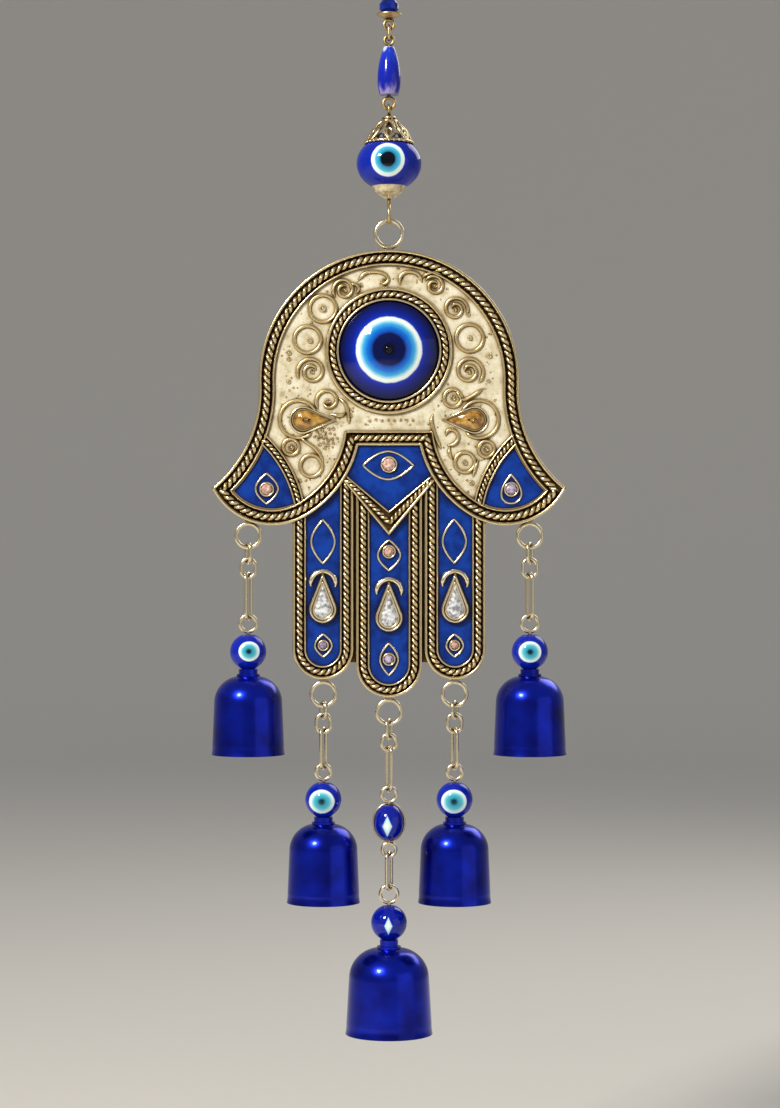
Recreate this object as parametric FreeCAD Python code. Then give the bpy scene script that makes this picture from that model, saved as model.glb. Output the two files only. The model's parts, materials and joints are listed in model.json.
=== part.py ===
import FreeCAD, Part
import math
import os

# Hanging charm: a brass hand set with a glass eye, on a short bead chain,
# with five bells on wire links. Millimetres, +Z up, front of the hand towards -Y.
# The origin is the centre of the hanger's eye, the hole that takes the wall hook.

V = FreeCAD.Vector

# ---- driving dimensions -------------------------------------------------------

# running fits and seats
link_gap = 0.10            # between two wires that hang on each other
bead_bore_gap = 0.05       # round a pin in a bead, cap or bell
stone_gap = 0.03           # round a stone in its seat

# hanger: a flat eye over a round loop
hanger_bore_radius = 2.8
hanger_eye_width = 2.0
hanger_thickness = 1.2
hanger_loop_radius = 2.0
hanger_wire = 1.2

# wires and loops, by diameter of wire and outside size
pin_wire = 0.8
bell_pin_wire = 0.9
link_wire = 0.9
ring_wire = 1.0
top_ring_wire = 1.1
link_yaw = 22.0            # degrees that each side-on link is turned about the vertical

top_link_length = 5.0
top_link_width = 3.8
bead_link_length = 4.2
bead_link_width = 3.2
top_ring_outside = 7.8
ring_outside = 7.0
ring_standoff = 0.2        # from a hand edge to the ring soldered under it
solder_foot_width = 1.5
solder_foot_depth = 0.9

# bead chain above the hand
upper_bead_loop = 3.2
upper_bead_diameter = 4.8
upper_bead_height = 4.4
upper_cap_diameter = 6.2
upper_cap_height = 0.7
upper_bead_face = 0.55     # radius of its flat ends, as a share of its own
upper_bead_shoulder = 0.35 # height of each sloping part, as a share of its own
cap_lip = (0.2, 0.6)       # heights of a cap's edge above its foot, as shares of its own
long_bead_loop = 3.0
long_bead_lower_loop = 3.6
long_bead_stem = 0.15
long_bead_length = 12.0
long_bead_tip_radius = 1.3
long_bead_radius = 2.9
long_bead_foot_radius = 2.4
long_bead_widest = 0.66    # share of the length at which it is widest
long_bead_swell = (0.86, 0.97)  # radius midway above and below that, as shares of the widest
eye_bead_loop = 3.0
eye_bead_lower_loop = 5.6
eye_bead_lower_stem = 1.2
eye_bead_diameter = 16.3
eye_bead_height = 13.6
eye_bead_flat_radius = 3.2
crown_height = 7.1
crown_radius = 5.7
crown_tip_radius = 0.9
crown_wall = 0.5
crown_roof = 1.0           # thickness at the very top, round the pin
crown_windows = 8
crown_window_width = 1.3
crown_window_low = 0.26    # foot and height of the windows, as shares of the crown's height
crown_window_height = 0.34
crown_window_start = 0.45  # share of the foot's radius at which the windows begin
crown_knee = (0.62, 0.6)   # radius and height of the bend in its side, as shares of its own
crown_knee_wall = 0.8      # by how many walls the inside of that bend is set back
cup_height = 2.6
cup_radius = 4.4
cup_foot_radius = 1.2
cup_waist = 0.8            # radius halfway down, as a share of the cup's
stem = 0.3                 # bare pin between a loop and what it carries

# hand: outline radii and centres, measured down from the top of the dome
dome_radius = 32.5
flare_radius = 31.4
flare_drop = 35.0
lobe_radius = 16.8
lobe_x = 29.1
lobe_drop = 52.0
lobe_turn = 60.0           # degrees below level where the lobe's lower edge opens into a wider arc
lobe_growth = 10.7         # by which that arc's radius is larger than the lobe's
bar_drop = 48.25           # lower edge of the level bar under the eye
bar_width = 3.0
border_width = 3.9         # rim, rope and inner rim together
outer_rim = 0.75
inner_rim = 0.5
eye_drop = 25.25

# three fingers
side_finger_x = 16.5
side_finger_width = 15.25
side_finger_drop = 107.25
middle_finger_width = 16.5
middle_finger_drop = 111.75
finger_top_drop = 56.0
finger_border = 3.4
web_drop = 103.0

# blue fields above the fingers
panel_point_drop = 71.3    # lowest point of the pointed panel between the lobes
panel_half_width = 12.6
panel_slope = 1.2
panel_field_drop = 65.2    # lowest point of the blue field inside it
panel_field_slope = 0.84
panel_top_reach = 20.0     # by which the field is cut back above the bar
horn_radius = 28.0         # arc between each side field and the cream horn
horn_x = 51.2
horn_drop = 68.9
horn_border = 2.6
side_field_inset = 4.2

# levels in front of the hand's back
hand_back = 1.3            # Y of the flat back
finger_floor = 1.3
finger_enamel = 2.0
finger_rim = 2.4
body_floor = 1.9
body_enamel = 2.7
body_rim = 3.2
body_channel = 2.3         # floor of the channels that the twisted ropes lie in
finger_channel = 1.6

# eye in the middle of the hand
glass_radius = 12.5
glass_edge = 1.3
glass_height = 6.0
bezel_wall = 0.45
bezel_height = 3.9
eye_rope_outer = glass_radius + 2.5
eye_rim_outer = eye_rope_outer + 0.8

# settings and stones
pear_drop = 89.75          # centre of the round end, side fingers
middle_pear_drop = 91.9
pear_radius = 3.4
pear_tip = 9.2
pear_height = 1.3
pear_stone_rise = 0.7
pear_stone_radius = 2.15
pear_stone_tip = 6.6
stone_seat_wall = 0.45
stone_seat_height = 0.5
stone_seat_root = 0.8      # depth to which a seat is rooted in the casting
stone_table = 0.55         # radius of a stone's flat table, as a share of its own
stone_rise = 0.8
side_field_stone = (30.5, 59.8, 1.4)
centre_stone = (0.0, 53.6, 1.63)
finger_top_stone = (0.0, 75.35, 1.25)
finger_low_stone = (0.0, 102.2, 1.2)
side_finger_stone = (16.4, 98.75, 0.95)
amber_x = 21.4
amber_drop = 42.5
amber_radius = 2.5
amber_tail = 7.2
amber_wall = 0.3
amber_rise = 0.5

# drops under the hand: link lengths down each one
lobe_ring_x = 35.2
finger_ring_x = 16.4
round_link_width = 4.4
long_link_width = 4.0
lobe_links = {"short": 5.75, "round": 5.5, "long": 12.4, "loop": 5.0}
finger_links = {"short": 4.9, "round": 5.5, "long": 11.0, "loop": 4.6}
middle_links = {"short": 5.5, "round": 5.0, "long": 12.0, "loop": 4.6}
oval_bead_width = 7.4
oval_bead_height = 9.3
oval_bead_flat_radius = 1.2
oval_lower_loop = 4.2
oval_setting_wire = 0.5
oval_setting_reach = 10.0  # half the width of the block that trims the setting to the bead's height
lower_link_length = 10.2
middle_bell_loop = 5.2

# bells: heights down from the crown, radii outside
small_bell = {
    "bead": 9.1, "neck": 1.75, "neck_radius": 2.35, "collar_radius": 2.9, "shoulder_radius": 8.5,
    "shoulder": 6.5, "waist_radius": 8.95, "waist": 17.2, "rim_radius": 9.15, "height": 19.6,
    "clapper": 13.0,
}
large_bell = {
    "bead": 9.0, "neck": 2.1, "neck_radius": 2.3, "collar_radius": 3.0, "shoulder_radius": 10.0,
    "shoulder": 7.2, "waist_radius": 10.65, "waist": 18.6, "rim_radius": 10.9, "height": 21.3,
    "clapper": 14.4,
}
bell_wall = 0.7
bell_knee = (0.76, 0.28)   # bend between neck and shoulder, as shares of the shoulder's radius and height
bell_knee_wall = 0.7       # by how many walls the inside of that bend is set back
bell_rim_bow = 0.08        # by which the side bows inwards above the rim
bell_bead_flat_radius = 1.5
collar_height = 0.5
inner_loop_outside = 3.3
clapper_loop_outside = 3.1
clapper_wire = 0.7
clapper_rod_radius = 0.45
clapper_ball_radius = 2.0

parts = {}


# ---- basic shapes -------------------------------------------------------------

def save(name, *solids):
    # one node, of one solid or of several that belong together
    parts[name] = solids[0] if len(solids) == 1 else Part.makeCompound(list(solids))


def joined(first, *others):
    # one clean solid from overlapping ones
    shape = first.multiFuse(list(others)).removeSplitter()
    return shape.Solids[0] if len(shape.Solids) == 1 else shape


def spun(points, z=0.0):
    # closed outline of (radius, height) corners turned about the vertical
    wire = Part.makePolygon([V(r, 0, z + h) for r, h in points + points[:1]])
    return Part.Face(wire).revolve(V(0, 0, 0), V(0, 0, 1), 360)


def spun_edges(edges):
    return Part.Face(Part.Wire(edges)).revolve(V(0, 0, 0), V(0, 0, 1), 360)


def line(a, b):
    return Part.LineSegment(V(a[0], 0, a[1]), V(b[0], 0, b[1])).toShape()


def arc(a, b, c):
    # arc from a through b to c, in the X-Z plane
    return Part.Arc(V(a[0], 0, a[1]), V(b[0], 0, b[1]), V(c[0], 0, c[1])).toShape()


def ring(x, z, outside, wire, edge_on=False):
    # round wire ring that faces the front, or the side where edge_on
    axis = V(1, 0, 0) if edge_on else V(0, 1, 0)
    return Part.makeTorus((outside - wire) / 2, wire / 2, V(x, 0, z), axis)


def link(x, top, length, width, wire, yaw):
    # oval link in the X-Z plane, its outside top at the given height, then turned by yaw
    r = wire / 2
    bend = width / 2 - r
    upper = top - r - bend
    lower = top - length + r + bend
    path = [
        arc((-bend, upper), (0, upper + bend), (bend, upper)),
        line((bend, upper), (bend, lower)),
        arc((bend, lower), (0, lower - bend), (-bend, lower)),
        line((-bend, lower), (-bend, upper)),
    ]
    halves = []
    for edge in path:
        start = edge.valueAt(edge.FirstParameter)
        along = edge.tangentAt(edge.FirstParameter)
        section = Part.Wire(Part.makeCircle(r, start, along))
        halves.append(Part.Wire(edge).makePipeShell([section], True, True))
    solid = joined(*halves)
    solid.rotate(V(0, 0, 0), V(0, 0, 1), yaw)
    solid.translate(V(x, 0, 0))
    return solid


def rod(x, top, bottom, radius):
    return Part.makeCylinder(radius, top - bottom, V(x, 0, bottom))


def ball(x, z, radius, flat_radius, bore, squash=1.0):
    # bead with flat ends and a bore, squash times as high as it is wide
    half = math.sqrt(radius ** 2 - flat_radius ** 2)
    body = Part.makeSphere(radius)
    slab = Part.makeCylinder(2 * radius, 2 * half, V(0, 0, -half))
    body = body.common(slab)
    if squash != 1.0:
        grow = FreeCAD.Matrix()
        grow.scale(V(1, 1, squash))
        body = body.transformGeometry(grow)
    body = body.cut(Part.makeCylinder(bore, 4 * radius, V(0, 0, -2 * radius)))
    body.translate(V(x, 0, z))
    return body, half * squash


# ---- outlines of the hand, in the X-Z plane ------------------------------------

def disc(x, z, radius):
    return Part.Face(Part.Wire(Part.makeCircle(radius, V(x, 0, z), V(0, -1, 0))))


def polygon(points):
    return Part.Face(Part.makePolygon([V(x, 0, z) for x, z in points + points[:1]]))


def lowest_crossing(a, b):
    # lower one of the points where two circles (x, z, radius) cross
    gap = math.hypot(b[0] - a[0], b[1] - a[1])
    along = (gap ** 2 + a[2] ** 2 - b[2] ** 2) / (2 * gap)
    across = math.sqrt(max(a[2] ** 2 - along ** 2, 0.0))
    ux = (b[0] - a[0]) / gap
    uz = (b[1] - a[1]) / gap
    found = [
        (a[0] + along * ux - s * across * uz, a[1] + along * uz + s * across * ux)
        for s in (1, -1)
    ]
    return min(found, key=lambda p: p[1])


def on_circle(circle, a, b):
    # point of the circle midway between a and b
    mx = (a[0] + b[0]) / 2 - circle[0]
    mz = (a[1] + b[1]) / 2 - circle[1]
    size = math.hypot(mx, mz)
    return (circle[0] + circle[2] * mx / size, circle[1] + circle[2] * mz / size)


def mirrored(p):
    return (-p[0], p[1])


def palm(inset, bar_inset):
    # dome, flared sides, round lobes and the level bar, all moved inwards by inset
    dome = (0.0, hand_top - dome_radius, dome_radius - inset)
    reach = dome_radius + flare_radius
    drop = flare_drop - dome_radius
    flare_x = math.sqrt(reach ** 2 - drop ** 2)
    flare = (flare_x, hand_top - flare_drop, flare_radius + inset)
    lobe = (lobe_x, hand_top - lobe_drop, lobe_radius - inset)
    turn = math.radians(lobe_turn)
    inner = (lobe_x + lobe_growth * math.cos(turn), lobe[1] + lobe_growth * math.sin(turn),
             lobe[2] + lobe_growth)
    share = dome[2] / reach
    waist = (flare_x * share, dome[1] + (flare[1] - dome[1]) * share)
    tip = lowest_crossing(flare, lobe)
    notch = (lobe[0] - lobe[2] * math.cos(turn), lobe[1] - lobe[2] * math.sin(turn))
    bar = hand_top - bar_drop + bar_inset
    end = (inner[0] - math.sqrt(inner[2] ** 2 - (bar - inner[1]) ** 2), bar)
    under = (lobe[0], lobe[1] - lobe[2])
    edges = [arc(mirrored(waist), (0, dome[1] + dome[2]), waist)]
    edges.append(arc(waist, on_circle(flare, waist, tip), tip))
    edges.append(arc(tip, under, notch))
    edges.append(arc(notch, on_circle(inner, notch, end), end))
    edges.append(line(end, mirrored(end)))
    edges.append(arc(mirrored(end), mirrored(on_circle(inner, notch, end)), mirrored(notch)))
    edges.append(arc(mirrored(notch), mirrored(under), mirrored(tip)))
    edges.append(arc(mirrored(tip), mirrored(on_circle(flare, waist, tip)), mirrored(waist)))
    return Part.Face(Part.Wire(edges))


def finger(x, width, drop, inset):
    half = width / 2 - inset
    low = hand_top - drop + width / 2
    top = hand_top - finger_top_drop
    return Part.Face(Part.Wire([
        line((x - half, top), (x + half, top)),
        line((x + half, top), (x + half, low)),
        arc((x + half, low), (x, low - half), (x - half, low)),
        line((x - half, low), (x - half, top)),
    ]))


def panel(point_drop, slope, inset):
    # pointed panel between the lobes, its sloping edges moved inwards by inset, square above
    point = hand_top - point_drop + inset * math.hypot(1, slope)
    top = hand_top - bar_drop + bar_width / 2
    side = point + panel_half_width * slope
    return polygon([
        (0, point), (panel_half_width, side), (panel_half_width, top),
        (-panel_half_width, top), (-panel_half_width, side),
    ])


def whole_panel():
    return panel(panel_point_drop, panel_slope, 0)


def pear(x, drop, radius, tip):
    # round end with two straight sides that meet in a tip above it
    z = hand_top - drop
    turn = math.asin(radius / tip)
    px = radius * math.cos(turn)
    pz = radius * math.sin(turn)
    return Part.Face(Part.Wire([
        line((x, z + tip), (x + px, z + pz)),
        arc((x + px, z + pz), (x, z - radius), (x - px, z + pz)),
        line((x - px, z + pz), (x, z + tip)),
    ]))


def teardrop(side, grow):
    # round end outside, pointed tail towards the eye, with a wall of grow round it
    z = hand_top - amber_drop
    radius = amber_radius + grow
    tail = amber_tail * radius / amber_radius
    turn = math.acos(radius / tail)
    px = -radius * math.cos(turn)
    pz = radius * math.sin(turn)
    x = amber_x
    points = [(x - tail, z), (x + px, z + pz), (x + radius, z), (x + px, z - pz)]
    if side < 0:
        points = [mirrored(p) for p in points]
    return Part.Face(Part.Wire([
        line(points[0], points[1]), arc(points[1], points[2], points[3]), line(points[3], points[0]),
    ]))


def prism(face, low, high):
    # the outline made solid between two levels in front of the hand's back
    solid = face.copy()
    solid.translate(V(0, hand_back - low, 0))
    return solid.extrude(V(0, low - high, 0))


def band(outer, inner):
    return outer.cut(inner)


# ---- heights of the chain, from the hanger down --------------------------------

def hung(parent_wire, child_wire, parent_low):
    # height of the top wire of a child that hangs on a wire centred at parent_low
    return parent_low + (parent_wire + child_wire) / 2 + link_gap


hanger_loop_z = -(hanger_bore_radius + hanger_eye_width + hanger_loop_radius)
top_link_pivot = hanger_loop_z - hanger_loop_radius
top_link_top = hung(hanger_wire, link_wire, top_link_pivot) + link_wire / 2
upper_bead_pivot = top_link_top - top_link_length + link_wire / 2
upper_loop_top = hung(link_wire, pin_wire, upper_bead_pivot) + pin_wire / 2
upper_bead_top = upper_loop_top - upper_bead_loop - stem
upper_bead_low = upper_bead_top - upper_bead_height
bead_link_pivot = upper_bead_low - upper_cap_height - upper_bead_loop + pin_wire / 2
bead_link_top = hung(pin_wire, pin_wire, bead_link_pivot) + pin_wire / 2
long_bead_pivot = bead_link_top - bead_link_length + pin_wire / 2
long_loop_top = hung(pin_wire, pin_wire, long_bead_pivot) + pin_wire / 2
long_bead_top = long_loop_top - long_bead_loop - long_bead_stem
long_bead_low = long_bead_top - long_bead_length
eye_bead_pivot = long_bead_low - stem - long_bead_lower_loop + pin_wire / 2
eye_loop_top = hung(pin_wire, pin_wire, eye_bead_pivot) + pin_wire / 2
crown_top = eye_loop_top - eye_bead_loop
crown_low = crown_top - crown_height
eye_bead_flat = eye_bead_height / 2 * math.sqrt(1 - (2 * eye_bead_flat_radius / eye_bead_diameter) ** 2)
crown_reach = eye_bead_height / 2 * math.sqrt(1 - (2 * crown_radius / eye_bead_diameter) ** 2)
eye_bead_z = crown_low - crown_reach
cup_top = eye_bead_z - eye_bead_height / 2 * math.sqrt(1 - (2 * cup_radius / eye_bead_diameter) ** 2)
cup_low = eye_bead_z - eye_bead_flat - cup_height
hand_pivot = cup_low - eye_bead_lower_stem - eye_bead_lower_loop + pin_wire / 2
top_ring_z = hung(pin_wire, top_ring_wire, hand_pivot) - (top_ring_outside - top_ring_wire) / 2
hand_top = top_ring_z - top_ring_outside / 2 - ring_standoff


# ---- hanger and bead chain -------------------------------------------------------

def hanger():
    outer = hanger_bore_radius + hanger_eye_width
    start = V(0, -hanger_thickness / 2, 0)
    eye = Part.makeCylinder(outer, hanger_thickness, start, V(0, 1, 0))
    bore = Part.makeCylinder(hanger_bore_radius, hanger_thickness, start, V(0, 1, 0))
    loop = ring(0, hanger_loop_z, 2 * hanger_loop_radius + hanger_wire, hanger_wire)
    return joined(eye, loop).cut(bore)


def pin(upper_top, upper_loop, shank_top, lower_top, lower_loop, wire, x=0.0, edge_on=False):
    # straight wire with a loop turned at each end
    upper = ring(x, upper_top - upper_loop / 2, upper_loop, wire, edge_on)
    lower = ring(x, lower_top - lower_loop / 2, lower_loop, wire, edge_on)
    shank = rod(x, shank_top + wire / 2, lower_top - wire / 2, wire / 2)
    return joined(upper, lower, shank)


def upper_bead():
    bore = pin_wire / 2 + bead_bore_gap
    lower_top = upper_bead_low - upper_cap_height
    save("upper_bead_pin", pin(upper_loop_top, upper_bead_loop, upper_loop_top - upper_bead_loop,
                               lower_top, upper_bead_loop, pin_wire))
    cone = upper_bead_diameter / 2
    face = cone * upper_bead_face
    slope = upper_bead_height * upper_bead_shoulder
    bead = spun([
        (bore, 0), (face, 0), (cone, -slope),
        (cone, slope - upper_bead_height), (face, -upper_bead_height), (bore, -upper_bead_height),
    ], upper_bead_top)
    save("upper_bead", bead)
    cap = spun([
        (bore, 0), (face, 0), (upper_cap_diameter / 2, upper_cap_height * cap_lip[1]),
        (upper_cap_diameter / 2, upper_cap_height * cap_lip[0]), (face, -upper_cap_height),
        (bore, -upper_cap_height),
    ], upper_bead_low)
    save("upper_bead_cap", cap)


def long_bead():
    bore = pin_wire / 2 + bead_bore_gap
    save("long_bead_pin", pin(long_loop_top, long_bead_loop, long_loop_top - long_bead_loop,
                              long_bead_low - stem, long_bead_lower_loop, pin_wire))
    top = long_bead_top
    low = long_bead_low
    widest = top - long_bead_length * long_bead_widest
    upper = long_bead_radius * long_bead_swell[0]
    lower = long_bead_radius * long_bead_swell[1]
    bead = spun_edges([
        line((bore, top), (long_bead_tip_radius, top)),
        arc((long_bead_tip_radius, top), (upper, (top + widest) / 2), (long_bead_radius, widest)),
        arc((long_bead_radius, widest), (lower, (widest + low) / 2), (long_bead_foot_radius, low)),
        line((long_bead_foot_radius, low), (bore, low)),
        line((bore, low), (bore, top)),
    ])
    save("long_bead", bead)


def crown():
    # pierced cap over the top of the bead
    bore = pin_wire / 2 + bead_bore_gap
    wall = crown_wall
    high = crown_top
    low = crown_low
    knee = (crown_radius * crown_knee[0], low + crown_height * crown_knee[1])
    inset = wall * crown_knee_wall
    shell = spun_edges([
        line((bore, high), (crown_tip_radius, high)),
        arc((crown_tip_radius, high), knee, (crown_radius, low)),
        line((crown_radius, low), (crown_radius - wall, low)),
        arc((crown_radius - wall, low), (knee[0] - inset, knee[1] - inset), (bore, high - crown_roof)),
        line((bore, high - crown_roof), (bore, high)),
    ])
    bead, _ = ball(0, eye_bead_z, eye_bead_diameter / 2, eye_bead_flat_radius, bore,
                   eye_bead_height / eye_bead_diameter)
    shell = shell.cut(bead)
    slot = Part.makeBox(crown_radius, crown_window_width, crown_height * crown_window_height,
                        V(crown_radius * crown_window_start, -crown_window_width / 2,
                          low + crown_height * crown_window_low))
    slots = []
    for n in range(crown_windows):
        one = slot.copy()
        one.rotate(V(0, 0, 0), V(0, 0, 1), 360 / crown_windows * (n + 0.5))
        slots.append(one)
    return max(shell.cut(slots).Solids, key=lambda s: s.Volume)


def eye_bead():
    bore = pin_wire / 2 + bead_bore_gap
    save("eye_bead_pin", pin(eye_loop_top, eye_bead_loop, crown_top, cup_low - eye_bead_lower_stem,
                             eye_bead_lower_loop, pin_wire, edge_on=True))
    bead, _ = ball(0, eye_bead_z, eye_bead_diameter / 2, eye_bead_flat_radius, bore,
                   eye_bead_height / eye_bead_diameter)
    save("eye_bead", bead)
    save("eye_bead_crown", crown())
    cup = spun([
        (bore, cup_top), (cup_radius, cup_top), (cup_radius * cup_waist, (cup_top + cup_low) / 2),
        (cup_foot_radius, cup_low), (bore, cup_low),
    ])
    save("eye_bead_cup", cup.cut(bead))


# ---- hand ------------------------------------------------------------------------

def stones():
    # (x, height, radius, seat level) of every round stone
    found = []
    for x, drop, r in (centre_stone, side_field_stone):
        for side in ((1,) if x == 0 else (1, -1)):
            found.append((side * x, hand_top - drop, r, body_enamel))
    for x, drop, r in (finger_top_stone, finger_low_stone, side_finger_stone):
        for side in ((1,) if x == 0 else (1, -1)):
            found.append((side * x, hand_top - drop, r, finger_enamel))
    return found


def peg(x, z, radius, low, high):
    return prism(disc(x, z, radius), low, high)


def fingers():
    side = (side_finger_width, side_finger_drop)
    return [(side_finger_x, *side), (-side_finger_x, *side), (0.0, middle_finger_width, middle_finger_drop)]


def eye_height():
    return hand_top - eye_drop


def horns(extra):
    z = hand_top - horn_drop
    return [disc(horn_x, z, horn_radius + extra), disc(-horn_x, z, horn_radius + extra)]


def fields():
    # outlines of the enamel: cream field, side fields, centre field, finger fields
    body = palm(0, 0)
    seats = [disc(x, z, r + stone_seat_wall) for x, z, r, _ in stones()]
    cream = palm(border_width, bar_width).cut(horns(horn_border))
    cream = cream.cut(disc(0, eye_height(), eye_rim_outer))
    cream = cream.cut([teardrop(1, amber_wall), teardrop(-1, amber_wall)])
    inside = palm(side_field_inset, bar_width)
    sides = [inside.common(horn).cut(seats) for horn in horns(0)]
    above = hand_top - bar_drop - inner_rim
    top = polygon([
        (-panel_half_width, above), (panel_half_width, above),
        (panel_half_width, above + panel_top_reach), (-panel_half_width, above + panel_top_reach),
    ])
    centre = panel(panel_field_drop, panel_field_slope, 0).cut([body, top, *seats])
    blue = []
    for x, width, drop in fingers():
        face = finger(x, width, drop, finger_border)
        blue.append(face.cut([body, whole_panel(), *seats, *pears()]))
    return cream, sides, centre, blue


def channels():
    # outlines of the channels between the rims, at the palm's level and at the fingers'
    inside = palm(border_width - inner_rim, bar_width - inner_rim)
    upper = [band(palm(outer_rim, 0), inside).cut(disc(0, eye_height(), eye_rim_outer))]
    for horn, hole in zip(horns(horn_border - inner_rim), horns(inner_rim)):
        upper.append(band(horn, hole).common(inside))
    point = panel(panel_point_drop, panel_slope, outer_rim)
    upper.append(band(point, panel(panel_field_drop, panel_field_slope, -inner_rim)).cut(palm(0, 0)))
    lower = []
    for x, width, drop in fingers():
        face = band(finger(x, width, drop, outer_rim), finger(x, width, drop, finger_border - inner_rim))
        lower.append(face.cut([palm(0, 0), whole_panel()]))
    return upper, lower


def pears():
    # outlines of the three pear settings
    places = ((side_finger_x, pear_drop), (-side_finger_x, pear_drop), (0.0, middle_pear_drop))
    return [pear(x, drop, pear_radius, pear_tip) for x, drop in places]


def hand_casting(cream, sides, centre, blue):
    shapes = [finger(x, width, drop, 0) for x, width, drop in fingers()]
    web_top = hand_top - finger_top_drop
    web_low = hand_top - web_drop
    web = polygon([(-side_finger_x, web_top), (side_finger_x, web_top),
                   (side_finger_x, web_low), (-side_finger_x, web_low)])
    lower = [prism(shape, 0, finger_rim) for shape in shapes]
    lower.append(prism(web, 0, finger_floor))
    lower.append(prism(whole_panel(), 0, body_rim))
    solid = joined(prism(palm(0, 0), 0, body_rim), *lower)
    cuts = [prism(face, body_floor, body_rim) for face in (cream, *sides, centre)]
    cuts += [prism(face, finger_floor, finger_rim) for face in (*blue, *pears())]
    cuts += [prism(teardrop(side, 0), body_floor, body_rim) for side in (1, -1)]
    upper, fingers_between = channels()
    cuts += [prism(face, body_channel, body_rim) for face in upper]
    cuts += [prism(face, finger_channel, finger_rim) for face in fingers_between]
    solid = solid.cut(cuts)
    # raised work: the eye's rim and bezel, and the stones' seats
    z = eye_height()
    bezel = glass_radius + stone_gap
    raised = [prism(band(disc(0, z, eye_rim_outer), disc(0, z, eye_rope_outer)), body_floor, body_rim)]
    raised.append(prism(band(disc(0, z, bezel + bezel_wall), disc(0, z, bezel)), body_floor, bezel_height))
    for x, stone_z, r, level in stones():
        raised.append(peg(x, stone_z, r + stone_seat_wall, level - stone_seat_root, level + stone_seat_height))
    solid = joined(solid, *raised)
    hollow = band(disc(0, z, eye_rope_outer), disc(0, z, bezel + bezel_wall))
    pockets = [prism(hollow, body_channel, body_rim), prism(disc(0, z, bezel), body_floor, bezel_height)]
    for x, stone_z, r, level in stones():
        pockets.append(peg(x, stone_z, r + stone_gap, level, level + stone_seat_height))
    return solid.cut(pockets)


def soldered_ring(x, edge):
    # wire ring under the hand with the foot of solder that joins it to the edge above
    z = edge - ring_standoff - ring_outside / 2
    loop = ring(x, z, ring_outside, ring_wire)
    low = z + (ring_outside - ring_wire) / 2
    foot = Part.makeBox(solder_foot_width, solder_foot_depth, edge + ring_wire - low,
                        V(x - solder_foot_width / 2, -solder_foot_depth / 2, low))
    return joined(loop, foot), z


def lobe_edge(x):
    # height of the lobe's lower edge at x
    return hand_top - lobe_drop - math.sqrt(lobe_radius ** 2 - (x - lobe_x) ** 2)


def rings():
    # the six rings and the height of each ring's centre
    found = []
    low = top_ring_z - (top_ring_outside - top_ring_wire) / 2
    loop = ring(0, top_ring_z, top_ring_outside, top_ring_wire)
    foot = Part.makeBox(solder_foot_width, solder_foot_depth, low - hand_top + ring_wire,
                        V(-solder_foot_width / 2, -solder_foot_depth / 2, hand_top - ring_wire))
    found.append(("top", 0.0, joined(loop, foot), top_ring_z))
    side_low = hand_top - side_finger_drop
    for side, name in ((-1, "left"), (1, "right")):
        solid, z = soldered_ring(side * lobe_ring_x, lobe_edge(lobe_ring_x))
        found.append((name + "_outer", side * lobe_ring_x, solid, z))
        solid, z = soldered_ring(side * finger_ring_x, side_low)
        found.append((name + "_inner", side * finger_ring_x, solid, z))
    solid, z = soldered_ring(0.0, hand_top - middle_finger_drop)
    found.append(("middle", 0.0, solid, z))
    return found


def round_stone(x, z, r, level):
    # low cylinder with a bevelled table
    top = level + stone_seat_height + stone_rise
    cone = Part.makeCone(r, r * stone_table, stone_rise, V(x, hand_back - top + stone_rise, z), V(0, -1, 0))
    return joined(peg(x, z, r, level, level + stone_seat_height), cone)


def glass_eye():
    z = eye_height()
    edge = peg(0, z, glass_radius, body_floor, body_floor + glass_edge)
    rise = glass_height - glass_edge
    radius = (glass_radius ** 2 + rise ** 2) / (2 * rise)
    level = body_floor + glass_height
    sphere = Part.makeSphere(radius, V(0, hand_back - level + radius, z))
    keep = peg(0, z, glass_radius, body_floor + glass_edge, level)
    return joined(edge, sphere.common(keep))


def hand():
    cream, sides, centre, blue = fields()
    placed = rings()
    casting = hand_casting(cream, sides, centre, blue)
    loops = [solid.cut(casting) for _, _, solid, _ in placed]
    loops = [max(s.Solids, key=lambda part: part.Volume) for s in loops]
    save("hand_casting", casting)
    save("hanging_rings", *loops)
    save("cream_enamel", *prism(cream, body_floor, body_enamel).Solids)
    upper = [s for face in (*sides, centre) for s in prism(face, body_floor, body_enamel).Solids]
    lower = [s for face in blue for s in prism(face, finger_floor, finger_enamel).Solids]
    save("blue_enamel", *upper, *lower)
    save("eye_glass", glass_eye())
    settings = []
    crystals = []
    for x, drop in ((side_finger_x, pear_drop), (-side_finger_x, pear_drop), (0.0, middle_pear_drop)):
        level = finger_floor
        outer = prism(pear(x, drop, pear_radius, pear_tip), level, finger_enamel + pear_height)
        wide = pear_stone_radius + stone_gap
        seat = pear(x, drop, wide, pear_stone_tip * wide / pear_stone_radius)
        settings.append(outer.cut(prism(seat, finger_enamel, finger_enamel + pear_height)))
        stone = pear(x, drop, pear_stone_radius, pear_stone_tip)
        top = finger_enamel + pear_height + pear_stone_rise
        crystals.append(prism(stone, finger_enamel, top))
    save("crystal_settings", *settings)
    save("pear_crystals", *crystals)
    save("round_stones", *[round_stone(*stone) for stone in stones()])
    amber = [prism(teardrop(side, 0), body_floor, body_enamel + amber_rise) for side in (1, -1)]
    save("amber_drops", *amber)
    return placed


# ---- drops -----------------------------------------------------------------------

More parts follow.
